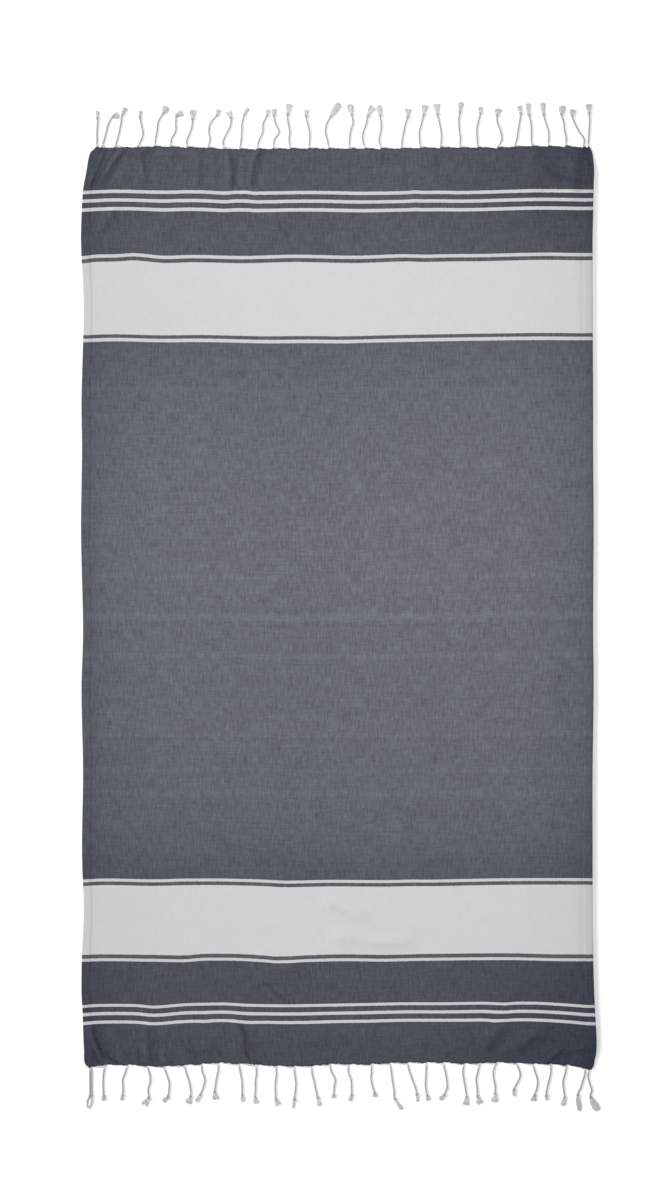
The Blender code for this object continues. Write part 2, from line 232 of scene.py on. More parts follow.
# Soft ridges where the cloth doesn't lie quite flat: both ends of the crest, half width and height.
Fold = namedtuple("Fold", "from_x from_y to_x to_y half_width height")
FOLDS = (
    Fold(-462, 897, -482, 835, 12, 2.6),
    Fold(-436, 897, -458, 838, 11, 2.6),
    Fold(-386, 896, -386, 836, 16, 2.4),
    Fold(-270, 896, -270, 838, 20, 1.4),
    Fold(-217, 897, -214, 828, 13, 3.0),
    Fold(-166, 897, -171, 838, 13, 2.6),
    Fold(378, 897, 384, 830, 28, 2.2),
    Fold(466, 897, 458, 820, 24, 3.2),
    Fold(-440, 768, -466, 728, 16, 2.0),
    Fold(-114, 742, -140, 716, 18, 1.8),
    Fold(-12, -580, 36, -600, 20, 2.2),
    Fold(8, -648, 126, -656, 18, 2.0),
    Fold(-136, -716, -92, -706, 18, 1.8),
    Fold(-150, -732, -112, -766, 18, 2.0),
    Fold(-484, -832, -470, -873, 11, 2.8),
    Fold(-470, -873, -452, -897, 11, 2.2),
    Fold(-372, -824, -372, -870, 17, 2.0),
    Fold(-300, -856, -290, -892, 15, 1.8),
    Fold(-196, -830, -182, -866, 14, 3.0),
    Fold(-182, -866, -156, -897, 14, 2.6),
    Fold(306, -836, 280, -866, 24, 2.2),
    Fold(384, -840, 344, -868, 24, 2.4),
    Fold(490, -856, 430, -870, 20, 3.0),
    Fold(430, -870, 410, -890, 20, 2.2),
)

# Narrow creases: both ends of each, half width, and how deep its trough lies or, where negative, how
# high its ridge stands, as a share of the deepest.
# Their depths also paint shade into the troughs' colour and a highlight onto the ridges'.
Crease = namedtuple("Crease", "from_x from_y to_x to_y half_width depth")
CREASES = (
    Crease(-452, 890, -465, 859, 7, 0.9),
    Crease(-465, 859, -479, 827, 5, 0.9),
    Crease(-415, 888, -436, 866, 8, 0.8),
    Crease(-436, 866, -460, 828, 6, 0.9),
    Crease(-370, 890, -380, 872, 7, 0.6),
    Crease(-380, 886, -377, 853, 6, 0.9),
    Crease(-315, 889, -321, 874, 7, 0.5),
    Crease(-263, 888, -268, 826, 9, 0.5),
    Crease(-209, 890, -206, 866, 8, 0.9),
    Crease(-206, 866, -202, 826, 8, 0.5),
    Crease(-148, 888, -161, 869, 7, 0.9),
    Crease(-161, 869, -166, 826, 6, 0.9),
    Crease(-441, 892, -470, 840, 5, -0.4),
    Crease(-415, 865, -437, 830, 8, -0.3),
    Crease(-364, 868, -360, 848, 12, -0.3),
    Crease(-247, 873, -247, 828, 8, -0.3),
    Crease(-187, 875, -187, 826, 7, -0.4),
    Crease(-139, 863, -147, 832, 10, -0.3),
    Crease(23, 873, 25, 826, 6, 0.4),
    Crease(92, 889, 87, 864, 7, 0.5),
    Crease(131, 877, 131, 826, 6, 0.3),
    Crease(195, 882, 196, 828, 6, 0.5),
    Crease(393, 893, 413, 876, 9, 0.4),
    Crease(411, 857, 432, 841, 9, 0.5),
    Crease(432, 841, 487, 827, 8, 0.5),
    Crease(483, 894, 495, 862, 5, 0.6),
    Crease(460, 862, 473, 860, 12, -0.3),
    Crease(-475, -822, -472, -847, 6, 0.7),
    Crease(-472, -847, -461, -871, 7, 1.0),
    Crease(-461, -871, -455, -884, 5, 1.0),
    Crease(-452, -873, -445, -885, 5, 1.0),
    Crease(-445, -885, -428, -894, 6, 1.0),
    Crease(-475, -870, -466, -893, 5, 1.0),
    Crease(-389, -870, -388, -892, 6, 0.7),
    Crease(-388, -892, -377, -897, 5, 0.6),
    Crease(-369, -828, -362, -893, 9, 0.5),
    Crease(-335, -878, -323, -896, 5, 0.7),
    Crease(-307, -845, -288, -874, 9, 0.4),
    Crease(-243, -863, -225, -879, 8, 0.4),
    Crease(-190, -820, -178, -838, 8, 0.8),
    Crease(-178, -838, -181, -861, 8, 0.8),
    Crease(-181, -861, -173, -885, 7, 0.9),
    Crease(-173, -885, -156, -892, 6, 0.7),
    Crease(-379, -860, -376, -890, 6, -0.4),
    Crease(-341, -868, -337, -892, 6, -0.4),
    Crease(-438, -849, -421, -885, 10, -0.3),
    Crease(-202, -848, -200, -880, 7, -0.4),
    Crease(323, -834, 299, -868, 11, 0.5),
    Crease(394, -842, 358, -870, 8, 0.6),
    Crease(445, -866, 414, -895, 5, 0.9),
    Crease(482, -867, 441, -878, 4, 0.6),
    Crease(454, -831, 470, -850, 5, 0.4),
    Crease(170, -872, 176, -860, 9, 0.3),
    Crease(458, -885, 476, -883, 10, -0.3),
    Crease(-444, -368, -376, -478, 7, 0.3),
    Crease(-12, -589, 28, -607, 6, 0.5),
    Crease(8, -657, 126, -665, 6, 0.5),
    Crease(-436, 768, -430, 754, 7, 0.5),
    Crease(-114, 742, -98, 728, 7, 0.4),
    Crease(-142, -737, -104, -771, 6, 0.5),
)

# One row for each cord. Root is its place across the towel. Quarter to tip are how far it has strayed
# sideways from its root there. Reach is the distance to its knot and tail what lies past it.
Cord = namedtuple("Cord", "root quarter half three_quarters knot tip reach tail tuft")
FAR_CORDS = (
    Cord(-470, 0, 0, 1, 1, 1, 57, 15, "slim"),
    Cord(-461, 5, 9, 13, 22, 35, 60, 2, "pad"),
    Cord(-435, 5, 9, 12, 15, 23, 64, 13, "brush"),
    Cord(-391, 8, 11, 8, 5, 7, 57, 14, "slim"),
    Cord(-357, 2, 5, 7, 17, 25, 65, 13, "pad"),
    Cord(-326, 2, 10, 10, 12, 24, 61, 6, "flag"),
    Cord(-294, 0, 6, 10, 11, 12, 56, 17, "flag"),
    Cord(-253, 4, 2, 5, 18, 22, 64, 11, "brush"),
    Cord(-222, -1, 6, 13, 14, 9, 60, 13, "fork"),
    Cord(-191, 3, 4, 5, 9, 17, 66, 14, "slim"),
    Cord(-157, 4, 11, 12, 20, 23, 66, 11, "brush"),
    Cord(-125, 2, 11, 4, 1, 2, 66, 12, "brush"),
    Cord(-92, -2, -1, -4, -5, -1, 67, 20, "fan"),
    Cord(-55, 1, 1, -3, -6, -4, 64, 12, "brush"),
    Cord(-16, -3, -7, -5, 3, 22, 62, 27, "long"),
    Cord(24, 0, 2, 7, 4, 0, 67, 20, "pad"),
    Cord(54, -4, -3, 3, 6, 17, 64, 19, "fork"),
    Cord(86, -4, -1, 0, -2, -3, 65, 21, "leaf"),
    Cord(126, 1, 4, 7, 12, 13, 62, 16, "tee"),
    Cord(163, -2, -2, 2, 6, 9, 64, 20, "fan"),
    Cord(202, 2, 1, -2, -6, -8, 65, 20, "fan"),
    Cord(240, 1, -1, -2, 0, 3, 69, 21, "brush"),
    Cord(275, -1, -2, 1, 5, 5, 67, 13, "brush"),
    Cord(314, 8, 6, 0, -1, 2, 63, 13, "flag"),
    Cord(347, 5, 7, 10, 12, 9, 65, 16, "brush"),
    Cord(381, -1, -1, -2, -6, -8, 61, 23, "brush"),
    Cord(413, 1, 0, -5, -9, -11, 62, 24, "brush"),
    Cord(447, 1, -2, -4, -8, -5, 63, 17, "pad"),
    Cord(482, 1, -9, -17, -22, -20, 61, 13, "pad"),
    Cord(491, 1, 2, 3, 2, 1, 66, 18, "tee"),
)
NEAR_CORDS = (
    Cord(-482, 0, 0, 0, 0, -5, 55, 25, "double"),
    Cord(-454, -3, -4, -4, -3, -3, 59, 10, "ball"),
    Cord(-410, -5, -10, -9, -10, -12, 59, 10, "slim"),
    Cord(-372, 5, 6, 2, 3, -6, 61, 16, "fork"),
    Cord(-339, 5, 10, 10, 7, -2, 59, 9, "brush"),
    Cord(-299, 4, 9, 12, 12, 7, 61, 13, "fan"),
    Cord(-266, 2, 7, 4, -2, -9, 60, 14, "brush"),
    Cord(-232, -1, -4, -6, -8, -5, 56, 15, "tee"),
    Cord(-192, 2, 5, 6, 6, 8, 61, 13, "ball"),
    Cord(-159, 1, -1, -1, -2, 2, 63, 13, "brush"),
    Cord(-120, 1, -1, -1, 0, 6, 65, 12, "fork"),
    Cord(-85, 2, 4, 3, 1, -1, 64, 18, "slim"),
    Cord(-50, 1, 5, 8, 12, 16, 62, 16, "club"),
    Cord(-15, 4, 11, 9, 8, 8, 59, 7, "ball"),
    Cord(22, 0, 5, 6, 6, 3, 60, 12, "brush"),
    Cord(67, 0, -1, 2, 6, 7, 56, 8, "ball"),
    Cord(103, 3, 5, 8, 10, 25, 69, 21, "club"),
    Cord(137, 4, 9, 15, 19, 21, 61, 15, "slim"),
    Cord(174, 0, -1, -1, 2, 5, 64, 10, "brush"),
    Cord(207, 4, 7, 8, 2, -6, 63, 9, "ball"),
    Cord(248, -2, 0, 3, 5, 4, 65, 16, "fan"),
    Cord(279, -4, -7, -5, -4, 1, 64, 15, "fan"),
    Cord(312, -6, -6, -3, -3, -4, 60, 17, "fan"),
    Cord(350, 6, 8, 2, -4, -2, 52, 13, "slim"),
    Cord(382, 5, 10, 9, 4, 2, 62, 11, "fork"),
    Cord(417, 1, -2, -6, -8, -6, 60, 10, "slim"),
    Cord(449, -3, -7, -6, -4, -7, 62, 17, "brush"),
    Cord(486, -2, -6, -10, -15, -11, 52, 32, "leaf"),
    Cord(494, -3, 0, 4, 2, 18, 54, 27, "long"),
)
CORDS = {"far": FAR_CORDS, "near": NEAR_CORDS}
KNOT_AT = 4

# A cord with a double tuft is two cords side by side: how far each lies from their middle line.
TWIN_OFFSETS = {"double": (-1.7, 1.7)}

# Cords start inside the cloth's end, slimmer there and at half the cloth's height.
ROOT_INSET = 1.5
ROOT_GIRTH = 0.62
ROOT_HEIGHT = 0.75

# A knot's loops swing in and out of round and lie flattened, as shares of their radius.
KNOT_SWING = 0.28
KNOT_FLATNESS = 0.80

# How far the single yarns at a root stray, half the height of the tallest lock and the thinning of tips.
YARN_STRAY = 1.2
LOCK_HALF_HEIGHT = 0.9
TIP_THINNING = 0.45

# What a tuft is made of. A lock of yarn bows aside and ends aside (to the right where positive), and
# its widths are those a third and two thirds along and at its end.
Lock = namedtuple("Lock", "tuft bow end_aside near_width middle_width end_width")
LOCKS = (
    Lock("slim", 0.0, 0.0, 5.8, 6.8, 5.8),
    Lock("brush", 0.0, 0.0, 7.6, 9.8, 10.0),
    Lock("ball", 0.0, 0.0, 8.2, 9.6, 7.0),
    Lock("club", 0.0, 0.0, 5.6, 8.6, 10.8),
    Lock("fork", -0.6, -4.4, 5.2, 5.8, 5.2),
    Lock("fork", 0.8, 4.2, 4.8, 5.4, 4.4),
    Lock("flag", -0.6, -1.6, 6.4, 8.8, 9.0),
    Lock("flag", 1.8, 3.8, 4.8, 6.0, 6.0),
    Lock("fan", -0.2, -4.4, 5.2, 7.2, 7.4),
    Lock("fan", 0.0, 0.6, 4.8, 5.8, 6.2),
    Lock("fan", 0.4, 4.6, 5.2, 6.4, 6.8),
    Lock("tee", -0.2, -4.6, 5.0, 6.4, 7.6),
    Lock("tee", 0.2, 4.6, 5.0, 6.4, 7.6),
    Lock("pad", 0.0, 0.0, 11.4, 14.0, 11.0),
    Lock("leaf", 0.0, 0.0, 9.2, 11.4, 4.8),
    Lock("long", 0.0, 0.0, 11.0, 14.6, 11.0),
    Lock("double", -3.9, -1.0, 4.0, 4.4, 3.8),
    Lock("double", 3.9, 1.0, 4.0, 4.6, 3.8),
)

# The woven pattern: where along the cloth each colour starts, from the near end up.
Stripe = namedtuple("Stripe", "start yarn")
STRIPES = (
    Stripe(-897.5, "slate"),
    Stripe(-815.8, "white"),
    Stripe(-809.9, "slate"),
    Stripe(-799.4, "white"),
    Stripe(-793.2, "slate"),
    Stripe(-783.0, "white"),
    Stripe(-777.5, "slate"),
    Stripe(-694.9, "white"),
    Stripe(-689.3, "line"),
    Stripe(-681.6, "band"),
    Stripe(-547.2, "line"),
    Stripe(-540.1, "white"),
    Stripe(-534.4, "slate"),
    Stripe(516.4, "white"),
    Stripe(523.3, "line"),
    Stripe(530.2, "band"),
    Stripe(673.2, "line"),
    Stripe(681.0, "white"),
    Stripe(687.5, "slate"),
    Stripe(772.2, "white"),
    Stripe(778.9, "slate"),
    Stripe(789.3, "white"),
    Stripe(795.8, "slate"),
    Stripe(806.2, "white"),
    Stripe(812.7, "slate"),
)

# Bars where the weft was beaten up closer or looser: place, width and how much lighter or darker.
Bar = namedtuple("Bar", "along width gain")
WEFT_BARS = (
    Bar(-366, 14, 0.030),
    Bar(-321, 12, 0.030),
    Bar(-260, 14, -0.030),
    Bar(-254, 6, 0.030),
    Bar(-97, 12, 0.040),
    Bar(-36, 10, -0.025),
    Bar(-20, 18, 0.055),
    Bar(57, 12, 0.035),
    Bar(424, 12, 0.030),
)

# The weave's grain: cells of noise to the metre across and along the cloth, how finely broken up they are,
# and how much each adds to the lightness and to the height of the weave.
Grain = namedtuple("Grain", "name across along detail roughness gain relief")
GRAINS = (
    Grain("warp", 300.0, 45.0, 2.0, 0.6, 1.05, 0.14),
    Grain("weft", 40.0, 260.0, 2.0, 0.6, 0.58, 0.14),
    Grain("specks", 300.0, 300.0, 2.0, 0.7, 0.50, 0.10),
    Grain("patches", 24.0, 24.0, 3.0, 0.6, 0.30, 0.4),
    Grain("bars", 5.0, 240.0, 3.0, 0.6, 0.25, 0.0),
)
WEAVE_GAIN = 0.14
WEAVE_RELIEF = 0.10
BAR_GAIN = 2.2

# Slubs are thick lighter lengths of thread and flecks small dark spots, where noise is above a limit.
SLUBS = Grain("slubs", 90.0, 900.0, 1.0, 0.5, 2.5, 0.0)
SLUB_LIMIT = 0.70
SLUB_SOFTNESS = 0.02
FLECK_LIMIT = 0.66
FLECK_GAIN = -3.5

# How the weft strays between two colours, in mm, how much of the slate's unevenness and painted crease shade
# the white shows, how light the last threads of the ends are, and the sheen and gloss of cotton.
STRAY = Grain("stray", 160.0, 40.0, 2.0, 0.6, 1.2, 0.0)
WHITE_UNEVENNESS = 0.10
WHITE_PAINTED_CREASE_SHADE = 0.3
END_SHADE = 0.74
COTTON_SHEEN = 0.08
COTTON_GLOSS = 0.15

# Painted shade of the fringes' cotton: how light it is at both sides and at the near end, where less light
# falls, and where across it is lightest.
FRINGE_SIDE_SHARE = 0.87
FRINGE_NEAR_SHARE = 0.97
FRINGE_MIDDLE = -20.0
FRINGE_EVEN_REACH = 150.0

# Painted shade: how light the yarns lie along and across the cloth, as a share of their lightest, darker
# where less light falls towards the ends and sides.
Shade = namedtuple("Shade", "place share")
SLATE_ALONG = (
    Shade(-897.5, 0.47),
    Shade(-860, 0.47),
    Shade(-830, 0.51),
    Shade(-700, 0.535),
    Shade(-520, 0.65),
    Shade(-478, 0.73),
    Shade(-419, 0.81),
    Shade(-360, 0.85),
    Shade(-280, 0.88),
    Shade(-245, 0.94),
    Shade(-184, 0.92),
    Shade(-67, 0.95),
    Shade(110, 0.99),
    Shade(286, 0.945),
    Shade(403, 0.875),
    Shade(499, 0.775),
    Shade(714, 0.63),
    Shade(897.5, 0.595),
)
SLATE_ACROSS = (
    Shade(-500, 0.64),
    Shade(-480, 0.71),
    Shade(-455, 0.80),
    Shade(-420, 0.85),
    Shade(-337, 0.92),
    Shade(-190, 0.95),
    Shade(-30, 0.965),
    Shade(45, 0.995),
    Shade(300, 1.0),
    Shade(350, 0.985),
    Shade(400, 0.935),
    Shade(437, 0.885),
    Shade(462, 0.84),
    Shade(480, 0.72),
    Shade(500, 0.63),
)
WHITE_ACROSS = (
    Shade(-500, 0.91),
    Shade(-464, 0.94),
    Shade(-386, 0.96),
    Shade(-190, 0.985),
    Shade(45, 1.0),
    Shade(330, 1.0),
    Shade(412, 0.975),
    Shade(456, 0.955),
    Shade(470, 0.90),
    Shade(480, 0.80),
    Shade(500, 0.77),
)


def length_property(name, description, default):
    """A size in metres that a user may change."""
    return FloatProperty(name=name, description=description, default=default, unit="LENGTH")


def share_property(name, description, default):
    """A plain number that a user may change."""
    return FloatProperty(name=name, description=description, default=default)


def count_property(name, description, default):
    """A whole number that a user may change."""
    return IntProperty(name=name, description=description, default=default)


def colour_property(name, description, *screen):
    """A colour that a user may change, with its default given as eight-bit screen values."""
    return FloatVectorProperty(
        name=name,
        description=description,
        default=linear(*screen),
        size=3,
        subtype="COLOR",
    )


class ClothSizes(PropertyGroup):
    """Sizes of the woven cloth and of its weave."""

    thickness: length_property("Thickness", "Thickness of the single cloth", 0.0015)
    hem_width: length_property("Hem width", "Width of the folded and stitched side hems", 0.015)
    hem_rise: length_property("Hem rise", "What the folded hem adds to the thickness", 0.0008)
    scallop: length_property("Scallop", "How far the ends are drawn out beside each cord's root", 0.0026)
    ripple: length_property("Ripple", "Height of the soft unevenness all over the cloth", 0.0005)
    crease_relief: length_property(
        "Crease relief", "How deep the deepest crease lies below the cloth beside it", 0.0009
    )
    # Painted shade in the creases' troughs, and painted highlight on their ridges
    painted_crease_shade: share_property("Crease shade", "How much darker the cloth is in the deepest crease", 0.42)
    thread_pitch: length_property("Thread pitch", "Distance from one thread of the weave to the next", 0.0009)
    seed: count_property("Seed", "Seed of the cloth's unevenness", 7)


class YarnColours(PropertyGroup):
    """Colours of the woven and the twisted yarns."""

    slate: colour_property("Slate", "Slate mixture of the ground where it is lightest", 107.2, 111.1, 117.4)
    # The darker, bluer slate that the painted shade takes the ground towards
    slate_in_painted_shade: colour_property(
        "Deep slate", "Slate mixture at three tenths of its lightness, where it is bluer", 58.0, 62.0, 73.8
    )
    line: colour_property("Line", "Dark line beside each band", 92, 92, 98)
    band: colour_property("Band", "Off-white of the wide bands", 211, 210.6, 211)
    white: colour_property("Stripe", "White of the narrow stripes", 205, 205, 208)
    cord: colour_property("Cord", "Undyed cotton of the twisted cords", 189, 189, 188)
    knot: colour_property("Knot", "Undyed cotton of the tight knots", 190, 190, 189)
    tuft: colour_property("Tuft", "Undyed cotton of the loose yarn ends", 221, 221, 220)
    thread_gain: share_property(
        "Thread gain", "Lightness of the sewing thread on the slate, as a share of the slate's", 1.25
    )
    # Painted shade in the slate's two right corners
    painted_corner_shade: share_property(
        "Corner shade", "How much darker the slate is in the two right corners", 0.28
    )


class StitchSizes(PropertyGroup):
    """Sizes of the stitches along the side hems."""

    from_edge: length_property("From edge", "Distance of the seam from the side edge", SEAM_AT * MM)
    pitch: length_property("Pitch", "Distance from one stitch to the next", 0.0034)
    length: length_property("Length", "Length of one stitch", 0.0027)
    thickness: length_property("Thickness", "Thickness of the sewing thread", 0.0006)
    seed: count_property("Seed", "Seed of the stitches' unevenness", 3)


class FringeSizes(PropertyGroup):
    """Sizes of the twisted cords, their knots and their tufts."""

    ply_radius: length_property("Ply radius", "Radius of each of a cord's two plies", 0.00146)
    ply_offset: length_property("Ply offset", "Distance of a ply's middle from the cord's middle", 0.00035)
    flatness: share_property("Flatness", "Height of a cord as a share of its width", 0.8)
    turn: length_property("Turn", "Length of cord in which its plies go once round", 0.0105)
    step: length_property("Step", "Distance between the cross-sections of a cord", 0.0011)
    knot_radius: length_property("Knot radius", "Distance of a knot's wraps from the cord's middle", 0.00175)
    knot_strand: length_property("Knot strand", "Radius of the strand that a knot is tied with", 0.00105)
    knot_length: length_property("Knot length", "How far a knot's wraps swing along the cord", 0.0017)
    knot_height: length_property("Knot height", "Height of a knot's middle off the surface", 0.0021)
    yarn_radius: length_property("Yarn radius", "Radius of one loose yarn of a tuft", 0.00044)
    fewest_yarns: count_property("Fewest yarns", "Yarns in a lock however narrow it is", 8)
    yarns_per_mm: share_property(
        "Yarns per mm", "Further yarns for each millimetre of a lock's half width", 10.5
    )
    curl: length_property("Curl", "How far the ends of the yarns stray", 0.0012)
    root_yarns: count_property("Root yarns", "Warp yarns that gather at the root of each cord", 13)
    root_out: length_property(
        "Root out", "How far off the cloth's end the gathering yarns reach a root", 0.0032
    )
    seed: count_property("Seed", "Seed of the yarns' unevenness", 11)


class StageSizes(PropertyGroup):
    """Floor, lights and camera."""

    floor_side: length_property("Floor side", "Side of the square floor", 40.0)
    camera_height: length_property("Camera height", "Height of the camera straight above the towel", 12.0)
    seen_length: length_property("Seen length", "Length of floor that fills the picture's height", 2.3484)
    sky: share_property("Sky", "Strength of the even light from all round", 0.29)
    overhead_side: length_property("Overhead side", "Side of the soft light above the towel", 0.8)
    overhead_power: FloatProperty(
        name="Overhead power",
        description="Power of the soft light above the towel",
        default=94.0,
        unit="POWER",
    )
    overhead_place: FloatVectorProperty(
        name="Overhead place",
        description="Where the soft light above the towel hangs",
        default=(0.3, 0.6, 5.0),
        size=3,
        subtype="TRANSLATION",
        unit="LENGTH",
    )
    key_side: length_property("Key side", "Side of the low light from the left", 4.5)
    key_power: FloatProperty(
        name="Key power",
        description="Power of the soft light that comes in low from the left",
        default=1740.0,
        unit="POWER",
    )
    key_place: FloatVectorProperty(
        name="Key place",
        description="Where the low light from the left stands",
        default=(-12.0, 4.5, 7.4),
        size=3,
        subtype="TRANSLATION",
        unit="LENGTH",
    )
    floor_glow: share_property("Floor glow", "Light that the white backdrop adds of itself", 0.13)


class TowelSettings(PropertyGroup):
    """All sizes and colours of the towel."""

    cloth: PointerProperty(type=ClothSizes)
    colours: PointerProperty(type=YarnColours)
    stitches: PointerProperty(type=StitchSizes)
    fringe: PointerProperty(type=FringeSizes)
    stage: PointerProperty(type=StageSizes)


# ---------------------------------------------------------------- curves and heights of the cloth


def ease(value):
    """0 up to 0, 1 from 1 on, and a smooth step between them."""
    t = np.clip(value, 0.0, 1.0)
    return t * t * (3 - 2 * t)


def smooth_values(places, values, at):
    """Values at places between those given, on a smooth curve through them."""
    places = np.array(places, float)
    values = np.array(values, float)
    at = np.clip(at, places[0], places[-1])
    start = np.clip(np.searchsorted(places, at, side="right") - 1, 0, len(places) - 2)
    end = start + 1
    before = np.maximum(start - 1, 0)
    after = np.minimum(start + 2, len(places) - 1)
    span = places[end] - places[start]
    slope = (values[end] - values[before]) / (places[end] - places[before])
    next_slope = (values[after] - values[start]) / (places[after] - places[start])
    t = (at - places[start]) / span
    leave = t * (1 - t) ** 2 * span * slope
    arrive = t * t * (t - 1) * span * next_slope
    return values[start] + (values[end] - values[start]) * ease(t) + leave + arrive


def column_values(table, column, at):
    """Values of one column of a table, at places between its rows."""
    return smooth_values([row[0] for row in table], [getattr(row, column) for row in table], at)


def fold_height(x, y):
    """How far the folds lift the cloth off the surface, in mm."""
    lift = np.zeros_like(x)
    for fold in FOLDS:
        run_x = fold.to_x - fold.from_x
        run_y = fold.to_y - fold.from_y
        length = math.hypot(run_x, run_y)
        along = ((x - fold.from_x) * run_x + (y - fold.from_y) * run_y) / length
        aside = np.abs((x - fold.from_x) * run_y - (y - fold.from_y) * run_x) / length
        past = np.maximum(np.maximum(-along, along - length), 0.0)
        fade = 1 - ease(past / (2 * fold.half_width))
        lift = np.maximum(lift, fold.height * fade * (1 - ease(aside / fold.half_width)))
    return lift


def crease_profile(x, y, crease, half_width):
    """1 along a crease's line, easing to 0 at a distance from it."""
    run = np.array([crease.to_x - crease.from_x, crease.to_y - crease.from_y], float)
    off = np.stack([x - crease.from_x, y - crease.from_y], axis=-1)
    share = np.clip(off @ run / (run @ run), 0, 1)
    aside = np.linalg.norm(off - share[..., None] * run, axis=-1)
    return 1 - ease(aside / half_width)


def crease_depth(x, y):
    """How deep a place lies in the creases' troughs, from 0 to 1, and below 0 on their ridges."""
    troughs = np.zeros_like(x)
    ridges = np.zeros_like(x)
    for crease in CREASES:
        depth = crease.depth * crease_profile(x, y, crease, crease.half_width)
        troughs = np.maximum(troughs, depth)
        ridges = np.minimum(ridges, depth)
    return troughs + ridges * (1 - troughs)


def crease_height(x, y):
    """Height of the cloth beside and in its creases: it rises on both sides of each trough, from 0 to 1."""
    beside = np.zeros_like(x)
    for crease in CREASES:
        profile = crease_profile(x, y, crease, CREASE_REACH * crease.half_width)
        beside = np.maximum(beside, abs(crease.depth) * profile)
    return np.clip(beside - crease_depth(x, y), 0, 1)


def ripple_height(x, y, seed):
    """Soft unevenness of the whole cloth, from 0 to 1, as a sum of broad waves."""
    random = np.random.default_rng(seed)
    total = np.zeros_like(x)
    waves = 14
    for _ in range(waves):
        heading = random.uniform(0, math.pi)
        length = random.uniform(70, 240)
        phase = random.uniform(0, 2 * math.pi)
        total += np.sin((x * math.cos(heading) + y * math.sin(heading)) * 2 * math.pi / length + phase)
    return np.clip(0.5 + total / waves, 0, 1)


def cloth_lift(x, y):
    """Height of the underside of the cloth, in mm."""
    edge_room = (HALF_WIDTH - x) / RIGHT_EDGE_CURL
    end_room = HALF_LENGTH - np.abs(y)
    curl = RIGHT_EDGE_LIFT * ease(1 - edge_room) ** 2 * ease(end_room / CURL_FADE)
    held_down = 1 - END_PRESS * (1 - ease(end_room / PRESS_FADE))
    return np.maximum(fold_height(x, y) * held_down, curl)


def weft_wander(x, row):
    """How far the weft has strayed along the cloth at a place, in mm."""
    lines = [(line.along, smooth_values(*zip(*line.turns), x)) for line in WOVEN_LINES]
    lines.insert(0, (HALF_LENGTH, column_values(END_EDGES, "far", x)))
    lines.append((-HALF_LENGTH, column_values(END_EDGES, "near", x)))
    wander = np.zeros_like(x)
    for (upper, upper_value), (lower, lower_value) in zip(lines, lines[1:]):
        share = np.clip((row - lower) / (upper - lower), 0, 1)
        inside = (row <= upper) & (row >= lower)
        wander = np.where(inside, lower_value + (upper_value - lower_value) * ease(share), wander)
    for tug in TUGS:
        aside = (x - tug.across) / tug.reach_across
        off = (row - tug.along) / tug.reach_along
        wander += tug.pull * np.exp(-(aside**2) - off**2)
    return wander


def scallop(x, end, size, seed):
    """How far an end is drawn out beside the roots of its cords, in mm."""
    roots = np.array([cord.root for cord in CORDS[end]], float)
    depths = size * np.random.default_rng(seed).uniform(0.5, 1.3, len(roots))
    gap = np.clip(np.searchsorted(roots, x, side="right") - 1, 0, len(roots) - 2)
    share = np.clip((x - roots[gap]) / (roots[gap + 1] - roots[gap]), 0, 1)
    between = (x >= roots[0]) & (x <= roots[-1])
    ragged = np.sin(x / 1.7 + 2 * np.sin(x / 13)) + np.sin(x / 2.9 + 3 * np.sin(x / 31))
    return np.where(between, depths[gap] * (0.5 - share), 0.0) + size * TEETH * ragged


def cloth_surface(column, row, sizes):
    """Place across and along the towel, and height of the underside, for a nominal place, all in mm."""
    left = -HALF_WIDTH + column_values(SIDE_EDGES, "left", row)
    right = HALF_WIDTH - column_values(SIDE_EDGES, "right", row)
    x = left + (right - left) * (column + HALF_WIDTH) / (2 * HALF_WIDTH)
    y = row + weft_wander(x, row)
    for end in ENDS:
        room = ease(1 - (HALF_LENGTH - ENDS[end] * row) / SCALLOP_DEPTH)
        y = y + scallop(x, end, sizes.scallop / MM, sizes.seed) * room
    ripple = ripple_height(column, row, sizes.seed) * sizes.ripple / MM
    side_room = ease((HALF_WIDTH - np.abs(column)) / SIDE_CREASE_FADE)
    end_room = ease((HALF_LENGTH - np.abs(row)) / END_CREASE_FADE)
    crease = crease_height(x, y) * side_room * end_room * sizes.crease_relief / MM
    return x, y, cloth_lift(column, row) + ripple + crease


def frame_shift():
    """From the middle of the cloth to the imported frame's origin, read off the cloth's own box."""
    low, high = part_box("towel_cloth")
    rows = np.linspace(-HALF_LENGTH, HALF_LENGTH, 400)
    left = -HALF_WIDTH + column_values(SIDE_EDGES, "left", rows)
    right = HALF_WIDTH - column_values(SIDE_EDGES, "right", rows)
    across = np.linspace(-HALF_WIDTH, HALF_WIDTH, 400)
    far = HALF_LENGTH + column_values(END_EDGES, "far", across)
    near = -HALF_LENGTH + column_values(END_EDGES, "near", across)
    middle_x = (left.min() + right.max()) / 2 * MM
    middle_y = (far.max() + near.min()) / 2 * MM
    return (low.x + high.x) / 2 - middle_x, (low.y + high.y) / 2 - middle_y


SHIFT_X, SHIFT_Y = frame_shift()


def placed(x, y, z):
    """Points given in mm from the middle of the cloth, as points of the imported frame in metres."""
    flat = [np.ravel(np.asarray(value, float)) for value in np.broadcast_arrays(x, y, z)]
    return np.stack([flat[0] * MM + SHIFT_X, flat[1] * MM + SHIFT_Y, flat[2] * MM], axis=1)


# ---------------------------------------------------------------- node trees


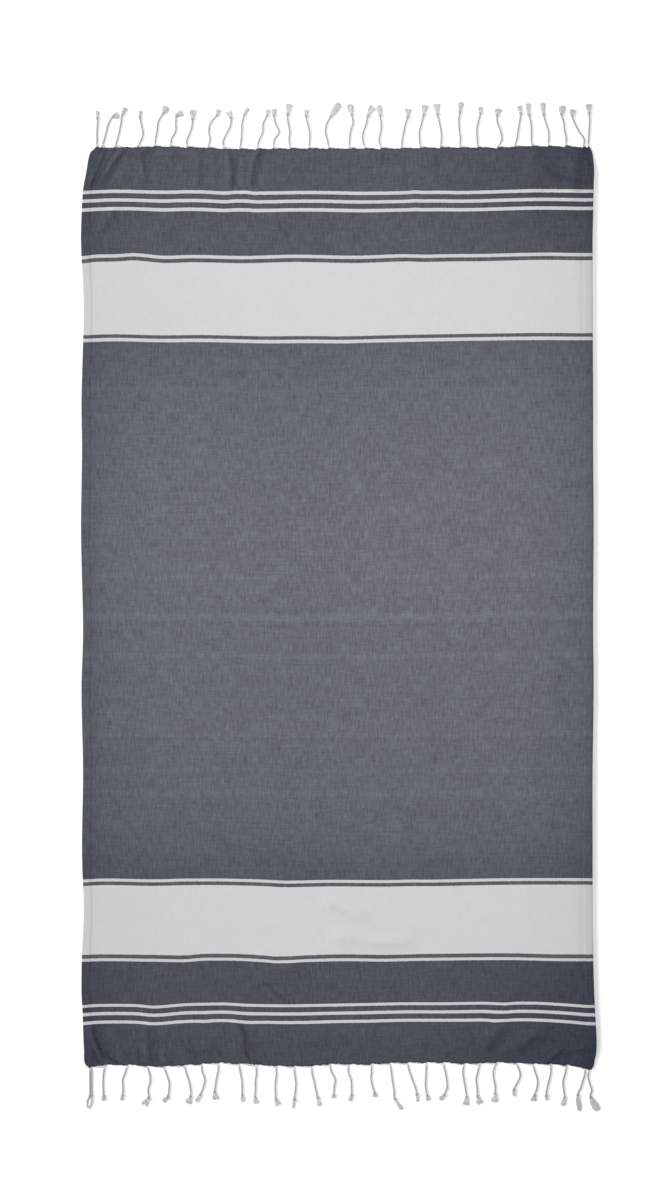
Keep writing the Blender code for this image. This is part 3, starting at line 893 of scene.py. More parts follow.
class Graph:
    """A node tree that is filled one node at a time."""

    def __init__(self, tree):
        self.tree = tree

    def feed(self, socket, value):
        """Link a socket to another one, or set its value."""
        if isinstance(value, bpy.types.NodeSocket):
            self.tree.links.new(value, socket)
        else:
            socket.default_value = value

    def add(self, kind, inputs=None, **options):
        """Add a node, set its options and feed its inputs, named or numbered."""
        node = self.tree.nodes.new(kind)
        count = len(self.tree.nodes)
        node.location = (220 * (count % 10), -260 * (count // 10))
        for name, value in options.items():
            setattr(node, name, value)
        for key, value in (inputs or {}).items():
            self.feed(node.inputs[key], value)
        return node

    def math(self, operation, *values):
        """Result of a Math node."""
        return self.add("ShaderNodeMath", dict(enumerate(values)), operation=operation).outputs[0]

    def vector_math(self, operation, *values, **named):
        """Result of a Vector Math node."""
        inputs = dict(enumerate(values))
        inputs.update(named)
        node = self.add("ShaderNodeVectorMath", inputs, operation=operation)
        return node.outputs["Value" if operation in ("LENGTH", "DOT_PRODUCT", "DISTANCE") else "Vector"]

    def combine(self, x, y, z):
        """A vector from three values."""
        return self.add("ShaderNodeCombineXYZ", {0: x, 1: y, 2: z}).outputs[0]

    def fit(self, value, low, high, low_result, high_result):
        """A value's place between low and high, as one between two results, held at both."""
        inputs = {0: value, 1: low, 2: high, 3: low_result, 4: high_result}
        return self.add("ShaderNodeMapRange", inputs).outputs[0]

    def mix(self, share, first, second):
        """The first colour where the share is 0 and the second where it is 1."""
        inputs = {0: share, 6: first, 7: second}
        return self.add("ShaderNodeMix", inputs, data_type="RGBA").outputs[2]

    def table_share(self, place, table):
        """Share read off a table at a place along or across the cloth, in metres."""
        half = table[-1].place * MM
        value = self.math("MULTIPLY_ADD", place, 0.5 / half, 0.5)
        node = self.add("ShaderNodeFloatCurve", {1: value})
        line = node.mapping.curves[0]
        shades = [((shade.place * MM / half + 1) / 2, shade.share) for shade in table]
        line.points[0].location = shades[0]
        line.points[1].location = shades[-1]
        for place, share in shades[1:-1]:
            line.points.new(place, share)
        for point in line.points:
            point.handle_type = "AUTO_CLAMPED"
        node.mapping.update()
        return node.outputs[0]

    def noise(self, vector, scale, detail=2.0, roughness=0.5):
        """Value of a Noise texture, which is about 0.5 on average."""
        inputs = {"Vector": vector, "Scale": scale, "Detail": detail, "Roughness": roughness}
        return self.add("ShaderNodeTexNoise", inputs).outputs[0]


class Recipe(Graph):
    """A Geometry Nodes tree whose sizes are named inputs."""

    def __init__(self, name):
        super().__init__(bpy.data.node_groups.new(name, "GeometryNodeTree"))
        self.tree.is_modifier = True
        self.sockets = {}
        self.tree.interface.new_socket("Geometry", in_out="INPUT", socket_type="NodeSocketGeometry")
        self.tree.interface.new_socket("Geometry", in_out="OUTPUT", socket_type="NodeSocketGeometry")
        self.source = self.add("NodeGroupInput")

    def size(self, name, value, kind="NodeSocketFloat"):
        """A named input of the tree, and its socket inside."""
        socket = self.tree.interface.new_socket(name, in_out="INPUT", socket_type=kind)
        self.sockets[name] = (socket.identifier, value)
        return self.source.outputs[name]

    def random(self, low, high, identity, seed):
        """A random value for each identity."""
        inputs = {2: low, 3: high, "ID": identity, "Seed": seed}
        return self.add("FunctionNodeRandomValue", inputs, data_type="FLOAT").outputs[1]

    def store(self, geometry, name, value, kind="FLOAT"):
        """Keep a value under a name on the points of a geometry."""
        inputs = {"Geometry": geometry, "Name": name, "Value": value}
        return self.add("GeometryNodeStoreNamedAttribute", inputs, data_type=kind).outputs[0]

    def end(self, geometry, material):
        """Finish the tree: smooth shading, real geometry and one material."""
        smooth = self.add("GeometryNodeSetShadeSmooth", {0: geometry}).outputs[0]
        real = self.add("GeometryNodeRealizeInstances", {0: smooth}).outputs[0]
        dressed = self.add("GeometryNodeSetMaterial", {0: real, "Material": material}).outputs[0]
        self.add("NodeGroupOutput", {0: dressed})

    def grow(self, name, guide):
        """Run the tree on a guide object and keep what it makes as a plain mesh object of that name."""
        modifier = guide.modifiers.new(self.tree.name, "NODES")
        modifier.node_group = self.tree
        for identifier, value in self.sockets.values():
            modifier[identifier] = value
        bpy.context.view_layer.update()
        graph = bpy.context.evaluated_depsgraph_get()
        mesh = bpy.data.meshes.new_from_object(guide.evaluated_get(graph), depsgraph=graph)
        guide.modifiers.remove(modifier)
        bpy.data.objects.remove(guide)
        if not len(mesh.polygons):
            raise RuntimeError(f"the recipe for {name} made nothing")
        return add_piece(name, mesh)


def add_piece(name, mesh):
    """A mesh as a named object of the scene."""
    mesh.name = name
    piece = bpy.data.objects.new(name, mesh)
    bpy.context.scene.collection.objects.link(piece)
    return piece


def guide_curve(name, lines):
    """A curve object to grow something on: each line has points, a radius and a tilt for each of them."""
    curve = bpy.data.curves.new(name, "CURVE")
    curve.dimensions = "3D"
    curve.twist_mode = "Z_UP"
    for points, radii, tilts in lines:
        spline = curve.splines.new("POLY")
        spline.points.add(len(points) - 1)
        spline.points.foreach_set("co", np.column_stack([points, np.ones(len(points))]).ravel())
        spline.points.foreach_set("radius", np.broadcast_to(radii, len(points)).astype(float))
        spline.points.foreach_set("tilt", np.broadcast_to(tilts, len(points)).astype(float))
    item = bpy.data.objects.new(name, curve)
    bpy.context.scene.collection.objects.link(item)
    return item


# ---------------------------------------------------------------- materials


def new_material(name):
    """An empty material with a Principled shader, and the graph to build it in."""
    material = bpy.data.materials.new(name)
    material.use_nodes = True
    graph = Graph(material.node_tree)
    shader = material.node_tree.nodes["Principled BSDF"]
    return material, graph, shader


def slate_with_painted_shade(graph, across, along, colours):
    """Slate yarn, darker and bluer towards both ends and sides and in its right corners: painted shade."""
    # Painted shade along and across the cloth
    up_the_cloth = graph.table_share(along, SLATE_ALONG)
    share = graph.math("MULTIPLY", up_the_cloth, graph.table_share(across, SLATE_ACROSS))
    # Painted shade in the two right corners
    aside = graph.fit(across, 0.15, 0.40, 0.0, colours.painted_corner_shade)
    out = graph.fit(graph.math("ABSOLUTE", along), 0.55, 0.86, 0.0, 1.0)
    painted_corner_share = graph.math("SUBTRACT", 1.0, graph.math("MULTIPLY", aside, out))
    share = graph.math("MULTIPLY", share, painted_corner_share)
    mixed = graph.math("DIVIDE", graph.math("SUBTRACT", share, 0.3), 0.7)
    lighter = graph.vector_math("SUBTRACT", (*colours.slate,), (*colours.slate_in_painted_shade,))
    amount = graph.combine(mixed, mixed, mixed)
    return graph.vector_math("MULTIPLY_ADD", lighter, amount, (*colours.slate_in_painted_shade,))


def woven_stripes(graph, across, along, weft, colours):
    """The colour of the yarns at a place, changing with the weft from one to the next up the cloth."""
    # Painted shade of the line, band and white yarns towards the sides
    aside = graph.table_share(across, WHITE_ACROSS)
    yarns = {"slate": slate_with_painted_shade(graph, across, along, colours)}
    for name in ("line", "band", "white"):
        yarns[name] = graph.vector_math("SCALE", (*getattr(colours, name),), Scale=aside)
    colour = graph.mix(0.0, yarns["slate"], yarns["slate"])
    for stripe in STRIPES[1:]:
        begun = graph.math("GREATER_THAN", weft, stripe.start * MM)
        colour = graph.mix(begun, colour, yarns[stripe.yarn])
    return colour


def slate_share(graph, colour, colours, slate_result, white_result):
    """One value where a colour is slate, another where it is white, and between them in between."""
    green = graph.add("ShaderNodeSeparateColor", {0: colour}).outputs[1]
    return graph.fit(green, colours.slate[1], colours.band[1] * 0.8, slate_result, white_result)


def weft_bars(graph, along):
    """The weft's lighter and darker bars, 0 where there is none."""
    total = 0.0
    for bar in WEFT_BARS:
        off = graph.math("SUBTRACT", along, bar.along * MM)
        off = graph.math("DIVIDE", off, bar.width / 2 * MM)
        rise = graph.math("SUBTRACT", 1.0, graph.math("MULTIPLY", off, off))
        total = graph.math("MULTIPLY_ADD", graph.math("MAXIMUM", rise, 0.0), bar.gain, total)
    return total


def grain_noise(graph, place, grain):
    """Noise of one kind of grain, with its own scales across and along the cloth."""
    stretched = graph.vector_math("MULTIPLY", place, (grain.across, grain.along, 0.0))
    return graph.noise(stretched, 1.0, grain.detail, grain.roughness)


def weave_grain(graph, place, pitch):
    """How much lighter the weave is from place to place, how high it stands, and its specks."""
    threads = graph.vector_math("SCALE", place, Scale=math.pi / pitch)
    turns = graph.add("ShaderNodeSeparateXYZ", {0: threads}).outputs
    weave = graph.math("MULTIPLY", graph.math("SINE", turns[0]), graph.math("SINE", turns[1]))
    uneven = graph.math("MULTIPLY", weave, WEAVE_GAIN)
    relief = graph.math("MULTIPLY", weave, WEAVE_RELIEF)
    noises = {}
    for grain in GRAINS:
        noise = grain_noise(graph, place, grain)
        noises[grain.name] = noise
        uneven = graph.math("MULTIPLY_ADD", graph.math("SUBTRACT", noise, 0.5), grain.gain, uneven)
        relief = graph.math("MULTIPLY_ADD", noise, grain.relief, relief)

    slubs = graph.math("SUBTRACT", grain_noise(graph, place, SLUBS), SLUB_LIMIT)
    slubs = graph.math("SMOOTH_MAX", slubs, 0.0, SLUB_SOFTNESS)
    flecks = graph.math("MAXIMUM", graph.math("SUBTRACT", noises["specks"], FLECK_LIMIT), 0.0)
    uneven = graph.math("MULTIPLY_ADD", slubs, SLUBS.gain, uneven)
    uneven = graph.math("MULTIPLY_ADD", flecks, FLECK_GAIN, uneven)
    return uneven, relief, noises["specks"]


def matt_cotton(shader, sheen=COTTON_SHEEN):
    """The faint sheen and gloss of cotton, the same all over a piece."""
    shader.inputs["Sheen Weight"].default_value = sheen
    shader.inputs["Specular IOR Level"].default_value = COTTON_GLOSS


def cloth_material(colours, sizes):
    """Plain weave of mixed slate yarn with white stripes, uneven as woven cloth is."""
    material, graph, shader = new_material("slate_weave")
    pattern = graph.add("ShaderNodeUVMap", uv_map="weave").outputs[0]
    pattern = graph.vector_math("SUBTRACT", pattern, (0.5, 0.5, 0.0))
    place = graph.vector_math("MULTIPLY", pattern, (2 * HALF_WIDTH * MM, 2 * HALF_LENGTH * MM, 0.0))
    across, along = graph.add("ShaderNodeSeparateXYZ", {0: place}).outputs[:2]

    # The edges of the stripes stray a little, as the weft does
    wander = graph.math("SUBTRACT", grain_noise(graph, place, STRAY), 0.5)
    strayed = graph.math("MULTIPLY_ADD", wander, STRAY.gain * MM, along)
    # The yarns' colour, with its painted shade towards the ends, sides and right corners
    ground = woven_stripes(graph, across, along, strayed, colours)

    # Lightness: the grain, the bars, the painted shade and highlight of the creases, and the ends
    uneven, relief, specks = weave_grain(graph, place, sizes.thread_pitch)
    uneven = graph.math("MULTIPLY_ADD", weft_bars(graph, along), BAR_GAIN, uneven)
    level = slate_share(graph, ground, colours, 1.0, WHITE_UNEVENNESS)
    level = graph.math("MULTIPLY_ADD", uneven, level, 1.0)
    # Painted shade in the creases' troughs and painted highlight on their ridges, fainter on the white
    crease = graph.add("ShaderNodeAttribute", attribute_name="crease").outputs["Fac"]
    shade = slate_share(graph, ground, colours, -sizes.painted_crease_shade, -sizes.painted_crease_shade * WHITE_PAINTED_CREASE_SHADE)
    level = graph.math("MULTIPLY", level, graph.math("MULTIPLY_ADD", crease, shade, 1.0))
    end_room = graph.math("SUBTRACT", HALF_LENGTH * MM, graph.math("ABSOLUTE", along))
    level = graph.math("MULTIPLY", level, graph.fit(end_room, MM, 4 * MM, END_SHADE, 1.0))
    graph.feed(shader.inputs["Base Color"], graph.vector_math("SCALE", ground, Scale=level))

    bump = graph.add("ShaderNodeBump", {"Strength": 1.0, "Distance": MM, "Height": relief})
    graph.feed(shader.inputs["Normal"], bump.outputs[0])
    graph.feed(shader.inputs["Roughness"], graph.math("MULTIPLY_ADD", specks, 0.18, 0.80))
    shader.inputs["Sheen Roughness"].default_value = 0.5
    matt_cotton(shader)
    return material


def thread_material(colours, sizes):
    """Sewing thread sunk in the cloth: it takes the yarns' colour, lighter on the slate."""
    material, graph, shader = new_material("sewing_thread")
    place = graph.add("ShaderNodeTexCoord").outputs["Object"]
    side = graph.math("SIGN", graph.add("ShaderNodeSeparateXYZ", {0: place}).outputs[0])
    across = graph.math("MULTIPLY", side, HALF_WIDTH * MM - sizes.from_edge)
    along = graph.add("ShaderNodeAttribute", attribute_name="along").outputs["Fac"]
    # The yarns' colour here carries their painted shade along and across the cloth
    ground = woven_stripes(graph, across, along, along, colours)
    fibres = graph.noise(place, 1600.0, 3.0, 0.7)
    level = graph.math("MULTIPLY_ADD", graph.math("SUBTRACT", fibres, 0.5), 0.3, 1.0)
    level = graph.math("MULTIPLY", level, slate_share(graph, ground, colours, colours.thread_gain, 1.0))
    graph.feed(shader.inputs["Base Color"], graph.vector_math("SCALE", ground, Scale=level))
    shader.inputs["Roughness"].default_value = 0.85
    matt_cotton(shader, 0.0)
    return material


def painted_fringe_shade(graph, place):
    """The cotton's lightness as painted shade: less at both sides of the cloth and at its near end."""
    across, along = graph.add("ShaderNodeSeparateXYZ", {0: place}).outputs[:2]
    aside = graph.math("ABSOLUTE", graph.math("SUBTRACT", across, FRINGE_MIDDLE * MM))
    share = graph.fit(aside, FRINGE_EVEN_REACH * MM, HALF_WIDTH * MM, 1.0, FRINGE_SIDE_SHARE)
    return graph.math("MULTIPLY", share, graph.fit(along, -0.9, 0.9, FRINGE_NEAR_SHARE, 1.0))


def cord_material(colours):
    """Twisted undyed cotton: fine fibres along each ply, a soft groove between the plies and painted shade in
    it.
    """
    material, graph, shader = new_material("twisted_cotton")
    around = graph.add("ShaderNodeAttribute", attribute_name="around").outputs["Vector"]
    along = graph.add("ShaderNodeAttribute", attribute_name="along").outputs["Fac"]
    sides = graph.add("ShaderNodeSeparateXYZ", {0: around}).outputs
    fibres = graph.combine(
        graph.math("MULTIPLY", sides[0], 5.0),
        graph.math("MULTIPLY", sides[1], 5.0),
        graph.math("MULTIPLY", along, 260.0),
    )
    strands = graph.noise(fibres, 1.0, 3.0, 0.7)
    groove = graph.math("POWER", graph.math("ABSOLUTE", sides[0]), 0.5)
    place = graph.add("ShaderNodeTexCoord").outputs["Object"]
    patches = graph.noise(place, 120.0, 2.0, 0.5)
    level = graph.math("MULTIPLY_ADD", graph.math("SUBTRACT", strands, 0.5), 0.14, 0.94)
    # Painted shade in the groove between the plies
    level = graph.math("MULTIPLY_ADD", groove, 0.06, level)
    level = graph.math("MULTIPLY_ADD", graph.math("SUBTRACT", patches, 0.5), 0.16, level)
    # Painted shade towards the sides and the near end
    level = graph.math("MULTIPLY", level, painted_fringe_shade(graph, place))
    graph.feed(shader.inputs["Base Color"], graph.vector_math("SCALE", (*colours.cord,), Scale=level))
    relief = graph.math("MULTIPLY_ADD", strands, 0.14, graph.math("MULTIPLY", groove, 0.14))
    bump = graph.add("ShaderNodeBump", {"Strength": 0.6, "Distance": MM, "Height": relief})
    graph.feed(shader.inputs["Normal"], bump.outputs[0])
    graph.feed(shader.inputs["Roughness"], graph.math("MULTIPLY_ADD", strands, 0.2, 0.76))
    matt_cotton(shader)
    return material


def yarn_material(name, colour, scale, contrast):
    """Fuzzy cotton yarn, lighter and darker along its length."""
    material, graph, shader = new_material(name)
    place = graph.add("ShaderNodeTexCoord").outputs["Object"]
    fibres = graph.noise(place, scale, 3.0, 0.7)
    patches = graph.noise(place, scale / 12, 2.0, 0.5)
    level = graph.math("MULTIPLY_ADD", graph.math("SUBTRACT", fibres, 0.5), contrast, 1.0)
    level = graph.math("MULTIPLY_ADD", graph.math("SUBTRACT", patches, 0.5), contrast * 0.7, level)
    # Painted shade towards the sides and the near end
    level = graph.math("MULTIPLY", level, painted_fringe_shade(graph, place))
    graph.feed(shader.inputs["Base Color"], graph.vector_math("SCALE", (*colour,), Scale=level))
    bump = graph.add("ShaderNodeBump", {"Strength": 0.6, "Distance": 0.0002, "Height": fibres})
    graph.feed(shader.inputs["Normal"], bump.outputs[0])
    graph.feed(shader.inputs["Roughness"], graph.math("MULTIPLY_ADD", fibres, 0.15, 0.80))
    matt_cotton(shader)
    return material


def floor_material(glow):
    """Plain white studio floor, faintly mottled, that gives a little light of itself."""
    material, graph, shader = new_material("white_floor")
    place = graph.add("ShaderNodeTexCoord").outputs["Object"]
    patches = graph.noise(place, 3.0, 2.0, 0.5)
    level = graph.math("MULTIPLY_ADD", graph.math("SUBTRACT", patches, 0.5), 0.02, 0.95)
    graph.feed(shader.inputs["Base Color"], graph.combine(level, level, level))
    shader.inputs["Roughness"].default_value = 0.9
    shader.inputs["Specular IOR Level"].default_value = 0.0
    shader.inputs["Emission Color"].default_value = (1.0, 1.0, 1.0, 1.0)
    shader.inputs["Emission Strength"].default_value = glow
    return material


# ---------------------------------------------------------------- the cloth

# The mesh of the cloth: from each distance in from an edge on, the pitch of its points
Zone = namedtuple("Zone", "from_edge pitch")
COLUMN_ZONES = (Zone(0, 0.7), Zone(1.4, 2), Zone(11.4, 1.1), Zone(17, 2), Zone(21, 3.33))
ROW_ZONES = (Zone(0, 0.6), Zone(1.2, 2.2), Zone(5.6, 3.3), Zone(80, 5), Zone(160, 9.2))


def spaced(*zones):
    """Places with a given pitch from each zone's start to the next one's: pairs of start and pitch."""
    places = []
    for (start, pitch), (end, _) in zip(zones, zones[1:]):
        count = max(1, round((end - start) / pitch))
        places += [start + (end - start) * i / count for i in range(count)]
    return np.array(places + [zones[-1][0]])


def mirrored_zones(half, *inner):
    """Zones from one edge to the other, closer near both: pairs of distance from the edge and pitch."""
    first = [(-half + distance, pitch) for distance, pitch in inner]
    pitches = [pitch for _, pitch in inner]
    last = [(half - distance, before) for (distance, _), before in zip(inner[1:], pitches)]
    return first + last[::-1] + [(half, 0)]


def rim_share(distance, size):
    """How much of the half thickness is rounded off at a distance from an edge, in mm."""
    inside = np.clip(distance / size, 0, 1)
    return 1 - np.sqrt(1 - (1 - inside) ** 2)


def hem_thickness(column, row, sizes):
    """What the folded hem and the seam's puckers add to the cloth's thickness, in mm."""
    edge = HALF_WIDTH - np.abs(column)
    width = sizes.hem_width / MM
    rise = sizes.hem_rise / MM * ease((width + 2 - edge) / 2)
    seam = np.exp(-(((edge - SEAM_AT) / SEAM_HALF_WIDTH) ** 2)) * SEAM_DEPTH
    random = np.random.default_rng(sizes.seed + 1)
    pucker = np.zeros_like(row)
    for length in random.uniform(*PUCKER_LENGTHS, PUCKER_WAVES):
        pucker += np.sin(row * 2 * math.pi / length + random.uniform(0, 6.3)) / PUCKER_WAVES
    reach = np.exp(-(((edge - PUCKERS_AT) / PUCKER_REACH) ** 2))
    return rise - seam + reach * PUCKER_HEIGHT * pucker


def underside_faces(index):
    """Faces of the underside, each over two by two cells of the top, with all points along the edges kept."""
    faces = []
    last_row, last_column = index.shape[0] - 1, index.shape[1] - 1
    for row in range(0, last_row, 2):
        for column in range(0, last_column, 2):
            block = index[row : row + 3, column : column + 3]
            left = [block[1, 0]] if column == 0 else []
            far = [block[2, 1]] if row + 2 == last_row else []
            right = [block[1, 2]] if column + 2 == last_column else []
            near = [block[0, 1]] if row == 0 else []
            faces.append([block[0, 0], *left, block[2, 0], *far, block[2, 2], *right, block[0, 2], *near])
    return faces


def border(grid):
    """The entries round the edge of a grid, once round."""
    return np.concatenate([grid[0, :-1], grid[:-1, -1], grid[-1, :0:-1], grid[:0:-1, 0]])


def cloth_grid(sizes):
    """The cloth as a closed mesh: a grid above, a coarser one below and a wall all round, with its UV map."""
    columns = spaced(*mirrored_zones(HALF_WIDTH, *COLUMN_ZONES))
    rows = spaced(*mirrored_zones(HALF_LENGTH, *ROW_ZONES))
    column, row = np.meshgrid(columns, rows)
    x, y, low = cloth_surface(column, row, sizes)
    thick = sizes.thickness / MM + hem_thickness(column, row, sizes)
    side_rim = rim_share(HALF_WIDTH - np.abs(column), SIDE_RIM)
    end_rim = rim_share(HALF_LENGTH - np.abs(row), END_RIM)
    shrink = np.maximum(side_rim, end_rim) * thick * RIM_ROUNDING

    # The underside keeps every other point each way, and all of those along the edges
    kept = np.zeros(column.shape, bool)
    kept[::2, ::2] = True
    for side in (np.s_[0, :], np.s_[-1, :], np.s_[:, 0], np.s_[:, -1]):
        kept[side] = True
    top = np.arange(column.size).reshape(column.shape)
    under = column.size + np.cumsum(kept).reshape(column.shape) - 1
    points = np.concatenate([placed(x, y, low + thick - shrink), placed(x, y, low + shrink)[kept.ravel()]])

    over = np.stack([top[:-1, 1:], top[1:, 1:], top[1:, :-1], top[:-1, :-1]], axis=-1).reshape(-1, 4)
    foot, head = border(under), border(top)
    wall = np.stack([foot, np.roll(foot, -1), np.roll(head, -1), head], axis=-1)
    faces = over.tolist() + wall.tolist() + underside_faces(under)

    mesh = bpy.data.meshes.new("woven_cloth")
    mesh.from_pydata(points.tolist(), [], faces)
    mesh.shade_smooth()
    pattern = np.stack([column / HALF_WIDTH, row / HALF_LENGTH], axis=-1) / 2 + 0.5
    pattern = np.concatenate([pattern.reshape(-1, 2), pattern[kept]])
    corners = np.zeros(len(mesh.loops), np.int32)
    mesh.loops.foreach_get("vertex_index", corners)
    mesh.uv_layers.new(name="weave").uv.foreach_set("vector", pattern[corners].ravel())
    # How deep each point lies in the creases, for their painted shade and highlight
    depth = crease_depth(x, y)
    depth = np.concatenate([depth.ravel(), depth[kept]])
    mesh.attributes.new("crease", "FLOAT", "POINT").data.foreach_set("value", depth)
    if mesh.validate():
        raise RuntimeError("the cloth's mesh had faults")
    return mesh


class TOWEL_OT_cloth(Operator):
    """Weave the cloth on its folds, with its stripes and raised side hems"""

    bl_idname = "towel.cloth"
    bl_label = "Woven cloth"

    def execute(self, context):
        settings = context.scene.hammam_towel
        cloth = add_piece("woven_cloth", cloth_grid(settings.cloth))
        cloth.data.materials.append(cloth_material(settings.colours, settings.cloth))
        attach(cloth, "root")
        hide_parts("towel_cloth")
        return {"FINISHED"}


# ---------------------------------------------------------------- the hem stitches


def stitch_recipe(settings, material):
    """Stitches along guide lines: a rounded bead of thread at every pitch, slightly askew."""
    sizes = settings.stitches
    recipe = Recipe("stitches")
    pitch = recipe.size("Pitch", sizes.pitch)
    length = recipe.size("Length", sizes.length)
    thickness = recipe.size("Thickness", sizes.thickness)
    seed = recipe.size("Seed", sizes.seed, "NodeSocketInt")
    tilt = recipe.add("GeometryNodeInputCurveTilt").outputs[0]
    seam = recipe.store(recipe.source.outputs[0], "along", tilt)
    points = recipe.add("GeometryNodeCurveToPoints", {0: seam, 2: pitch}, mode="LENGTH")
    bead = recipe.add("GeometryNodeMeshUVSphere", {"Segments": 8, "Rings": 6, "Radius": 0.5}).outputs[0]
    index = recipe.add("GeometryNodeInputIndex").outputs[0]
    turn = recipe.random(-0.10, 0.10, index, seed)
    scale = recipe.random(0.85, 1.08, index, recipe.math("ADD", seed, 1))
    facing = recipe.add(
        "FunctionNodeAxesToRotation",
        {0: points.outputs["Tangent"], 1: (0.0, 0.0, 1.0)},
        primary_axis="Y",
        secondary_axis="Z",
    ).outputs[0]
    askew = recipe.add("FunctionNodeAxisAngleToRotation", {0: (0.0, 0.0, 1.0), 1: turn}).outputs[0]
    inputs = {0: facing, 1: askew}
    facing = recipe.add("FunctionNodeRotateRotation", inputs, rotation_space="LOCAL").outputs[0]
    size = recipe.combine(thickness, recipe.math("MULTIPLY", length, scale), thickness)
    beads = recipe.add(
        "GeometryNodeInstanceOnPoints",
        {"Points": points.outputs[0], "Instance": bead, "Rotation": facing, "Scale": size},
    )
    recipe.end(beads.outputs[0], material)
    return recipe


def seam_lines(settings):
    """Guide lines of the two side seams, along the top of the hems, tilted by their place along the cloth."""
    lines = []
    row = np.linspace(-HALF_LENGTH + 1.5, HALF_LENGTH - 1.5, 360)
    for side in (-1, 1):
        column = np.full_like(row, side * (HALF_WIDTH - settings.stitches.from_edge / MM))
        x, y, low = cloth_surface(column, row, settings.cloth)
        top = low + settings.cloth.thickness / MM + hem_thickness(column, row, settings.cloth)
        lines.append((placed(x, y, top), 1.0, row * MM))
    return lines


class TOWEL_OT_stitches(Operator):
    """Sew the two side hems with a row of stitches each"""

    bl_idname = "towel.stitches"
    bl_label = "Hem stitches"

    def execute(self, context):
        settings = context.scene.hammam_towel
        material = thread_material(settings.colours, settings.stitches)
        recipe = stitch_recipe(settings, material)
        seams = recipe.grow("hem_stitches", guide_curve("seam_guide", seam_lines(settings)))
        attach(seams, "root")
        return {"FINISHED"}


# ---------------------------------------------------------------- the fringes


def end_y(end, x):
    """Place along the towel of an end's drawn edge, without its scallops, in mm."""
    return ENDS[end] * HALF_LENGTH + column_values(END_EDGES, end, x)


def cord_line(cord, end, at):
    """Points of a cord's middle line in mm, from its root at 0 over its knot at 4 to its tip at 5."""
    drift = (0, cord.quarter, cord.half, cord.three_quarters, cord.knot, cord.tip)
    out = [cord.reach * count / KNOT_AT for count in range(KNOT_AT + 1)] + [cord.reach + cord.tail]
    x = cord.root + smooth_values(range(KNOT_AT + 2), drift, at)
    y = end_y(end, cord.root) + ENDS[end] * smooth_values(range(KNOT_AT + 2), out, at)
    return x, y


def moved_aside(x, y, end, aside):
    """A line in mm, moved sideways: to the right where aside is positive."""
    run_x = np.gradient(x)
    run_y = np.gradient(y)
    run = np.hypot(run_x, run_y) * ENDS[end]
    return x + run_y / run * aside, y - run_x / run * aside


def cord_height(cord, end, at, sizes):
    """Height of a cord's middle line in mm: off the cloth's end, along the surface and up to its knot."""
    edge = float(cloth_lift(np.array(float(cord.root)), np.array(ENDS[end] * HALF_LENGTH))) + ROOT_HEIGHT
    lying = (sizes.ply_radius + sizes.ply_offset) / MM
    knot = sizes.knot_height / MM
    return edge + (lying - edge) * ease(at / 0.9) + (knot - lying) * ease((at - 3.7) / 0.3)


def cord_lines(end, sizes):
    """Guide lines of an end's cords, slimmer where they leave the cloth."""
    random = np.random.default_rng(sizes.seed)
    lines = []
    at = np.linspace(0.0, KNOT_AT, 56)
    for cord in CORDS[end]:
        z = cord_height(cord, end, at, sizes)
        for aside in TWIN_OFFSETS.get(cord.tuft, (0.0,)):
            x, y = moved_aside(*cord_line(cord, end, at), end, aside)
            y[0] -= ENDS[end] * ROOT_INSET
            girth = ROOT_GIRTH + (1 - ROOT_GIRTH) * ease(at / 0.5)
            lines.append((placed(x, y, z), girth, random.uniform(0, 2 * math.pi)))
    return lines


def root_lines(end, sizes):
    """Guide lines of the warp yarns along an end: each follows the edge to the root that gathers it.

    A cord of the far end gathers the yarns on its right and one of the near end those on its left.
    """
    random = np.random.default_rng(sizes.seed + 5)
    side = ENDS[end]
    cords = CORDS[end]
    out = sizes.root_out / MM
    lines = []
    for cord, neighbour in zip(cords[::side], cords[::side][1:] + cords[::side][-1:]):
        gap = abs(neighbour.root - cord.root)
        gap = min(gap, 40) if gap else 9
        edge = cord_height(cord, end, 0.0, sizes)
        for _ in range(sizes.root_yarns):
            start = side * gap * random.uniform(-0.16, 0.92)
            layer = random.uniform(0.25, 1.0)
            landing = random.uniform(0.10, 0.20)
            aside = random.uniform(-1.1, 1.1)
            x, y = cord_line(cord, end, np.array([landing, landing + 0.12, landing + 0.30]))
            root_x = cord.root + start * np.array([1.0, 0.55, 0.16])
            root_y = end_y(end, root_x) + side * np.array([-1.0, 0.45 * out * layer, out * layer])
            points_x = np.concatenate([root_x, x + aside])
            points_y = np.concatenate([root_y, y])
            points_z = np.array([edge, edge, edge + 0.3, edge + 0.9, edge + 1.1, edge + 0.6])
            at = np.linspace(0, 5, 16)
            line = [smooth_values(range(6), values, at) for values in (points_x, points_y, points_z)]
            lines.append((placed(*line), random.uniform(0.8, 1.2), 0.0))
    return lines


